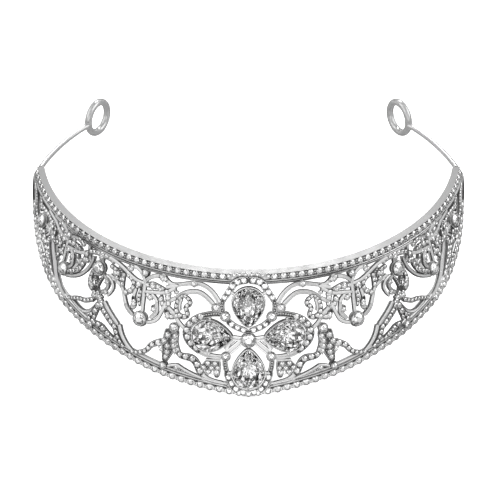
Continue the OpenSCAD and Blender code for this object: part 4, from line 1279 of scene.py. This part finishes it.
def stone_row(prefix, outline, spots, beads, node, seat):
    """Seats, collars, cups, stones and beads of one row; a spot is a stone's place and angle."""
    chart = Chart()
    stones = Places()
    for at, angle in spots:
        put_on(chart, stones, at, 0.02, 1.0, angle)
    grains = Places()
    for at in beads:
        put_on(chart, grains, at, 0.04, ROW_BEAD)
    r = sizes().row_stone / MM / 2
    hole = r + ROW_ROOM
    # The cups under the stones take the dark metal, painted shade in the holes
    shiny, cup_shade = metals()[POLISHED], metals()[SUNK_SHADE]
    small = material("small_diamond", small_diamond)
    for name, shape, places, skin, slot, smooth, nodes in (
        ("seats", seat_tile(outline, hole), stones, seat, "white_metal", 30, []),
        ("collars", seat_collar(hole), stones, shiny, "white_metal", 30, []),
        ("cups", seat_cup(hole, ROW_CUP), stones, cup_shade, "white_metal", 0, []),
        ("stones", scaled(brilliant(), r), stones, small, "diamond", 0, [node]),
        ("beads", bead_shape(8), grains, shiny, "white_metal", 60, []),
    ):
        item = item_from(*shape, "row_item")
        ride(repeated(places, item, prefix + "_" + name, skin, smooth), slot, *nodes)
        bpy.data.objects.remove(item)


def scaled(shape, size):
    """A shape's vertices at another size, with its faces."""
    return [(x * size, y * size, z * size) for x, y, z in shape[0]], shape[1]


class CROWN_OT_base_rail(bpy.types.Operator):
    """Base rail with its seat, stone row, groove and plain bar"""

    bl_idname = "crown.base_rail"
    bl_label = "Base rail"

    # Line of the stones in millimetres, and degrees of the first stone and of the row's end
    row_mm, first, last = 0.38, 6.2, 77.0
    # Behind the centre frame the rail is cut back by this depth: its channel within the first
    # angle of the centre, and its groove and bar as well within the second
    cut_depth, channel_cut, rail_cut = 1.1, 5, 4
    # Lines just outside the two walls of the channel
    channel_from, channel_to = -0.59, 1.36

    def execute(self, context):
        chart = Chart()
        parts = Parts()
        steps = [side * (cut + gap) for side in (-1, 1) for cut in (self.channel_cut, self.rail_cut)
                 for gap in (0.01, -0.01)]
        degs = sorted([*np.arange(-HALF_ARC, HALF_ARC + 0.01, 0.5), *steps])
        rings = [self.section(chart, deg) for deg in degs]
        # Face 0 is the seat, in the brushed grey, 3 to 5 are the row's channel and 8 to 10 the groove, in the
        # dark metal; both greys are painted shade
        finishes = {0: BRUSHED_SHADE, **dict.fromkeys((3, 4, 5, 8, 9, 10), SUNK_SHADE)}

        def slot_of(i, k):
            if 0 < k < 7 and abs(degs[i]) < self.channel_cut:
                return SATIN
            return finishes.get(k, POLISHED)

        parts.rail(rings, slot_of)
        ride(parts.piece("base_rail_bar", metals(), 30), "white_metal", "base_rail")
        pitch = math.degrees(sizes().rail_pitch)
        spots, beads = [], []
        for side in (-1, 1):
            for deg in np.arange(self.first, self.last, pitch):
                at = np.array([side * deg * chart.deg_mm, self.row_mm])
                spots.append((at, 0.0))
                for up in (-0.4, 0.4):
                    beads.append(at + [side * pitch / 2 * chart.deg_mm, up])
        half = pitch / 2 * chart.deg_mm * 0.98 + SEAT_LAP
        outline = mirrored([
            (0, -1.0), (0.6, -1.0), (half, -0.99), (half, -0.5), (half, 0), (half, 0.4), (1.03, 0.46),
            (0.82, 0.68), (0.72, 0.97), (0.36, 1.0), (0, 1.0),
        ])
        # The rail's seats between the stones take the dark metal, painted shade
        stone_row("rail", outline, spots, beads, "rail_row", metals()[SUNK_SHADE])
        return {"FINISHED"}

    def section(self, chart, deg):
        """The rail's section at one angle, from the seat's inner lip over the row to the bar."""
        profile = [
            (-0.74, 0.0), (-0.60, 0.0), (-0.58, -0.06), (-0.58, -0.9), (1.34, -0.9), (1.34, -0.04),
            (1.56, 0.14), (1.66, 0.14), (1.7, -0.4), (1.9, -0.4), (1.94, -0.1), (2.14, 0.08),
            (2.42, 0.04), (2.78, -0.08), (2.85, -2.0),
        ]
        mm, out = np.array(profile).T
        if abs(deg) < self.channel_cut:
            cut = (mm > self.channel_from) & (out > -self.cut_depth)
            if abs(deg) > self.rail_cut:
                cut &= mm < self.channel_to
            out = np.where(cut, -self.cut_depth, out)
        outer = chart.point(deg, mm, out)
        inner_r = chart.radius - chart.seat_rise * chart.sin - chart.seat_width
        a = math.radians(deg)
        lip = chart.rest([inner_r * math.sin(a), -inner_r * math.cos(a), chart.seat_rise * chart.cos])
        return np.vstack([lip[None], outer])


class CROWN_OT_crest_rail(bpy.types.Operator):
    """Crest rail with its scalloped stone row and double bar"""

    bl_idname = "crown.crest_rail"
    bl_label = "Crest rail"

    # Millimetres from the crest's edge in to the stones, and degrees at which their row ends
    row_in, row_end = 1.1, 72
    # The edge stands back between stones by up to twice the scallop
    scallop = 0.15
    # Width of the rail, its width within some degrees of the centre, under the ornament, and the
    # line near the base rail that it stays clear of
    full_width, centre_width, centre_deg, clear_mm = 3.7, 2.2, 4.6, 2.91
    # Inner edge of the channel, and width of the lip along the crest's edge
    channel_in, lip = 2.04, 0.16

    def execute(self, context):
        chart = Chart()
        pitch = sizes().crest_pitch / MM
        walk, deg = [], 0.0
        while deg < self.row_end:
            walk.append(deg)
            deg += pitch / math.hypot(chart.deg_mm, crest_slope(deg))
        spots, beads = [], []
        for side in (-1, 1):
            for deg in walk[0 if side > 0 else 1:]:
                at, inward, along = self.edge(chart, side * deg)
                spots.append((at + inward * self.row_in, math.atan2(along[1], along[0])))
            for deg in walk:
                at, inward, along = self.edge(chart, side * deg)
                for way in (-0.33, 0.33):
                    beads.append(at + inward * (self.row_in + way) + along * pitch / 2 * side)
        parts = Parts()
        degs = np.arange(-HALF_ARC, HALF_ARC + 0.01, 0.25)
        phase = np.interp(np.abs(degs), walk, np.arange(len(walk)))
        rings = [self.section(chart, d, self.scallop - self.scallop * math.cos(2 * math.pi * p))
                 for d, p in zip(degs, phase)]
        # Faces 0 and 1 are the outer edge, in the brushed grey, 4 to 6 the row's channel, in the grey metal,
        # and 8 to 10 and 13 and 14 two grooves, in the dark metal: all three colours are painted shade
        finishes = {
            **dict.fromkeys((0, 1), BRUSHED_SHADE), **dict.fromkeys((4, 5, 6), SHADED),
            **dict.fromkeys((8, 9, 10, 13, 14), SUNK_SHADE),
        }
        parts.rail(rings, lambda i, k: finishes.get(k, SATIN))
        ride(parts.piece("crest_rail_bar", metals(), 30), "white_metal", "crest_rail")
        half = pitch / 2 + SEAT_LAP
        outline = mirrored([
            (0, -1.08), (0.42, -1.0), (0.78, -0.76), (half, -0.62), (half, -0.2), (half, 0.2), (half, 0.5),
            (1.0, 0.6), (0.82, 0.95), (0.4, 1.0), (0, 1.0),
        ])
        stone_row("crest", outline, spots, beads, "crest_row", metals()[SATIN])
        return {"FINISHED"}

    def edge(self, chart, deg):
        """A place on the crest's edge with the chart's ways inward and along."""
        d = np.array([chart.deg_mm, crest_slope(deg)])
        d /= np.linalg.norm(d)
        return np.array([deg * chart.deg_mm, float(crest_mm(deg))]), np.array([d[1], -d[0]]), d

    def section(self, chart, deg, back):
        """The crest's section at one angle, from its edge, which stands back, to its inner side."""
        width = self.centre_width if abs(deg) < self.centre_deg else self.full_width
        wide = min(width, crest_mm(deg) - self.clear_mm)
        at, inward, _ = self.edge(chart, deg)
        # Near its ends, where the rail is narrow, its channel and lip narrow with it
        far = min(self.channel_in, wide - 0.15)
        lip = min(self.lip, wide / 8)
        back = min(back, wide / 8)
        profile = [
            (0.12, -chart.plate), (back, -chart.plate + 0.3), (back, -0.15), (back + lip * 0.3, 0.0),
            (back + lip, 0.0), (back + lip + 0.02, -0.9), (far - 0.05, -0.9), (far, -0.05), (far + 0.06, 0.0),
        ]
        rest = wide - far
        deep = -0.4 * min(1, rest)
        for share in (0.04, 0.52):
            groove_and_bar = ((0, deep), (0.14, deep), (0.17, 0.1), (0.3, 0.1))
            profile += [(far + rest * (share + k), z) for k, z in groove_and_bar]
        profile += [(wide - 0.04, -0.06), (wide, -0.12), (wide, -chart.plate)]
        flat = np.array([at + inward * x for x, _ in profile])
        return chart.point(flat[:, 0] / chart.deg_mm, flat[:, 1], np.array([z for _, z in profile]))


class CROWN_OT_centre(bpy.types.Operator):
    """Centre ornament: petal frames, collets and pear settings"""

    bl_idname = "crown.centre"
    bl_label = "Centre ornament"

    def execute(self, context):
        chart = Chart()
        parts, stones, beads = Parts(), Places(), Places()
        for side in (1, -1):
            strips(chart, CENTRE, side, parts, stones, beads)
            for name in CENTRE_SET:
                deg, mm, r, stand = SET_STONES[name]
                collet(chart, parts, beads, side * deg, mm, r, stand)
        collet(chart, parts, beads, *CENTRE_STONE)
        for deg, mm, turn in PEARS.values():
            pear_setting(chart, parts, beads, deg, mm, turn)
        garland_pieces("centre_frames", parts, stones, beads, ["centre_ornament"])
        return {"FINISHED"}


class CROWN_OT_garlands(bpy.types.Operator):
    """Both garlands: arches, vine, sprays, bows and their collets"""

    bl_idname = "crown.garlands"
    bl_label = "Garlands"

    def execute(self, context):
        chart = Chart()
        for name, side in SIDES.items():
            parts, stones, beads = Parts(), Places(), Places()
            for table in (
                ARCH, VINE, moved(SPRAY, *INNER_SPRAY), moved(BOW, *INNER_BOW),
                moved(BOW_FOLDS, *INNER_BOW), LEGS, moved(SPRAY, *OUTER_SPRAY),
                moved(BOW, *OUTER_BOW), moved(BOW_FOLDS, *OUTER_BOW), OUTER,
            ):
                strips(chart, table, side, parts, stones, beads)
            for stone, (deg, mm, r, stand) in SET_STONES.items():
                if stone not in CENTRE_SET:
                    collet(chart, parts, beads, side * deg, mm, r, stand)
            collars = Places()
            loose_stones(chart, side, stones, beads, collars)
            collar = item_from(*collar_shape(), "collar_item")
            ride(repeated(collars, collar, name + "_collars", metals()[POLISHED], 40), "white_metal")
            bpy.data.objects.remove(collar)
            garland_pieces(name + "_scrolls", parts, stones, beads, [name + "_garland"])
        return {"FINISHED"}


class CROWN_OT_main_stones(bpy.types.Operator):
    """The stones that have a setting of their own, each a piece"""

    bl_idname = "crown.main_stones"
    bl_label = "Main stones"

    # Millimetres of radius at which a round stone is cut before it is scaled, and points in each
    # row of facets of a round stone and of a pear
    cut_radius, round_points, pear_points = 2.6, 12, 20

    def execute(self, context):
        chart = Chart()
        for side_name, side in SIDES.items():
            for name, (deg, mm, r, stand) in SET_STONES.items():
                self.round_stone(chart, side_name + "_" + name, side * deg, mm, r, stand)
        self.round_stone(chart, "centre_stone", *CENTRE_STONE)
        for node, (deg, mm, turn) in PEARS.items():
            verts, faces = splinter_cut(pear_outline(-0.06), self.pear_points)
            flat = turned([v[:2] for v in verts], turn)
            z = np.array([v[2] for v in verts])
            self.stone(chart, node, deg, mm, PEAR_STAND, flat, z, faces, cut_diamond)
        return {"FINISHED"}

    def round_stone(self, chart, node, deg, mm, r, stand):
        """A round stone that just clears its collet."""
        verts, faces = splinter_cut(
            lambda a: (self.cut_radius * math.cos(a), self.cut_radius * math.sin(a)), self.round_points)
        at = np.array(verts) * (r - 0.02) / self.cut_radius
        self.stone(chart, node, deg, mm, stand - 0.1, at[:, :2], at[:, 2], faces, round_diamond)

    def stone(self, chart, node, deg, mm, out, flat, z, faces, build):
        """A stone on the flare, which stands for the frame's node of that name."""
        parts = Parts()
        parts.put(local_points(chart, deg, mm, out, flat, z), faces, [0] * len(faces))
        ride(parts.piece(node + "_cut", [material(build.__name__, build)], 0), "diamond", node)


class CROWN_OT_wires(bpy.types.Operator):
    """Wires behind the rail's ends, each with a round loop"""

    bl_idname = "crown.wires"
    bl_label = "Wires"

    # Radius of the wire and how far it starts inside the rail's line, in millimetres, and the
    # degrees of its bend
    radius, inset, leave, arrive = 0.9, 1.5, 15.0, 38.5
    # Radius of the loop and of its wire, how far it bites into the wire's end and how far it is
    # raised, in millimetres, and the degrees that it is turned
    loop, stock, bite, lift, twist = 5.85, 1.3, 0.8, 0.2, -8.0
    # Millimetres by which solder thickens the wire's end, over some degrees of the bend
    solder, solder_deg = 0.35, 2.0

    def execute(self, context):
        chart = Chart()
        skin = [material("drawn_wire", drawn_wire)]

        def way(deg):
            """Unit step along one direction of the rail's plane."""
            return np.array([math.cos(math.radians(deg)), math.sin(math.radians(deg)), 0])

        start = (chart.radius - self.inset) * -way(90 + HALF_ARC)
        hub = start - chart.radius * way(self.leave)
        tip = hub + chart.radius * way(self.arrive)
        reach = self.loop + self.stock - self.bite
        up = np.array([0, 0, 1])
        middle = tip + reach * way(self.arrive + 90 + self.twist) + up * self.lift
        for name, side in SIDES.items():
            flip = np.array([-side, 1, 1])
            parts = Parts()
            rings = []
            for deg in np.linspace(self.leave + 0.06, self.arrive, 60):
                near_end = max(0.0, (deg - self.arrive + self.solder_deg) / self.solder_deg)
                thick = self.radius + self.solder * near_end ** 2
                rings.append([hub + way(deg) * (chart.radius + thick * math.cos(a))
                              + up * thick * math.sin(a) for a in self.turns(20)])
            self.put(chart, parts, rings, flip, False)
            rings = []
            for b in self.turns(72):
                outward = way(self.arrive + 90 + self.twist) * math.cos(b) + up * math.sin(b)
                rings.append([middle + outward * (self.loop + self.stock * math.cos(a))
                              + way(self.arrive + self.twist) * self.stock * math.sin(a)
                              for a in self.turns(20)])
            self.put(chart, parts, rings, flip, True)
            ride(parts.piece(name + "_wire_loop", skin), "white_metal", name + "_wire")
        return {"FINISHED"}

    def turns(self, n):
        """n angles once round."""
        return [2 * math.pi * k / n for k in range(n)]

    def put(self, chart, parts, rings, flip, closed):
        """Adds rings, mirrored for the left side, with their faces kept outward."""
        rings = chart.rest(np.array(rings) * flip)
        parts.skin(rings if flip[0] > 0 else rings[:, ::-1], lambda i, k: 0, closed)


class CROWN_PT_panel(bpy.types.Panel):
    """The crown's pieces"""

    bl_idname = "CROWN_PT_panel"
    bl_label = "Bridal crown"
    bl_space_type = "VIEW_3D"
    bl_region_type = "UI"
    bl_category = "Crown"

    def draw(self, context):
        for group in (context.scene.crown_sizes, context.scene.crown_finish):
            for name in group.__annotations__:
                self.layout.prop(group, name)
        for op in OPERATORS:
            self.layout.operator(op.bl_idname)


OPERATORS = (
    CROWN_OT_stage, CROWN_OT_base_rail, CROWN_OT_crest_rail, CROWN_OT_centre, CROWN_OT_garlands,
    CROWN_OT_main_stones, CROWN_OT_wires,
)
CLASSES = (CrownSizes, CrownFinish, *OPERATORS, CROWN_PT_panel)


def register():
    for cls in CLASSES:
        bpy.utils.register_class(cls)
    bpy.types.Scene.crown_sizes = PointerProperty(type=CrownSizes)
    bpy.types.Scene.crown_finish = PointerProperty(type=CrownFinish)


def unregister():
    del bpy.types.Scene.crown_finish
    del bpy.types.Scene.crown_sizes
    for cls in reversed(CLASSES):
        bpy.utils.unregister_class(cls)


def main():
    register()
    for op in OPERATORS:
        group, name = op.bl_idname.split(".")
        getattr(getattr(bpy.ops, group), name)()


if __name__ == "__main__":
    main()
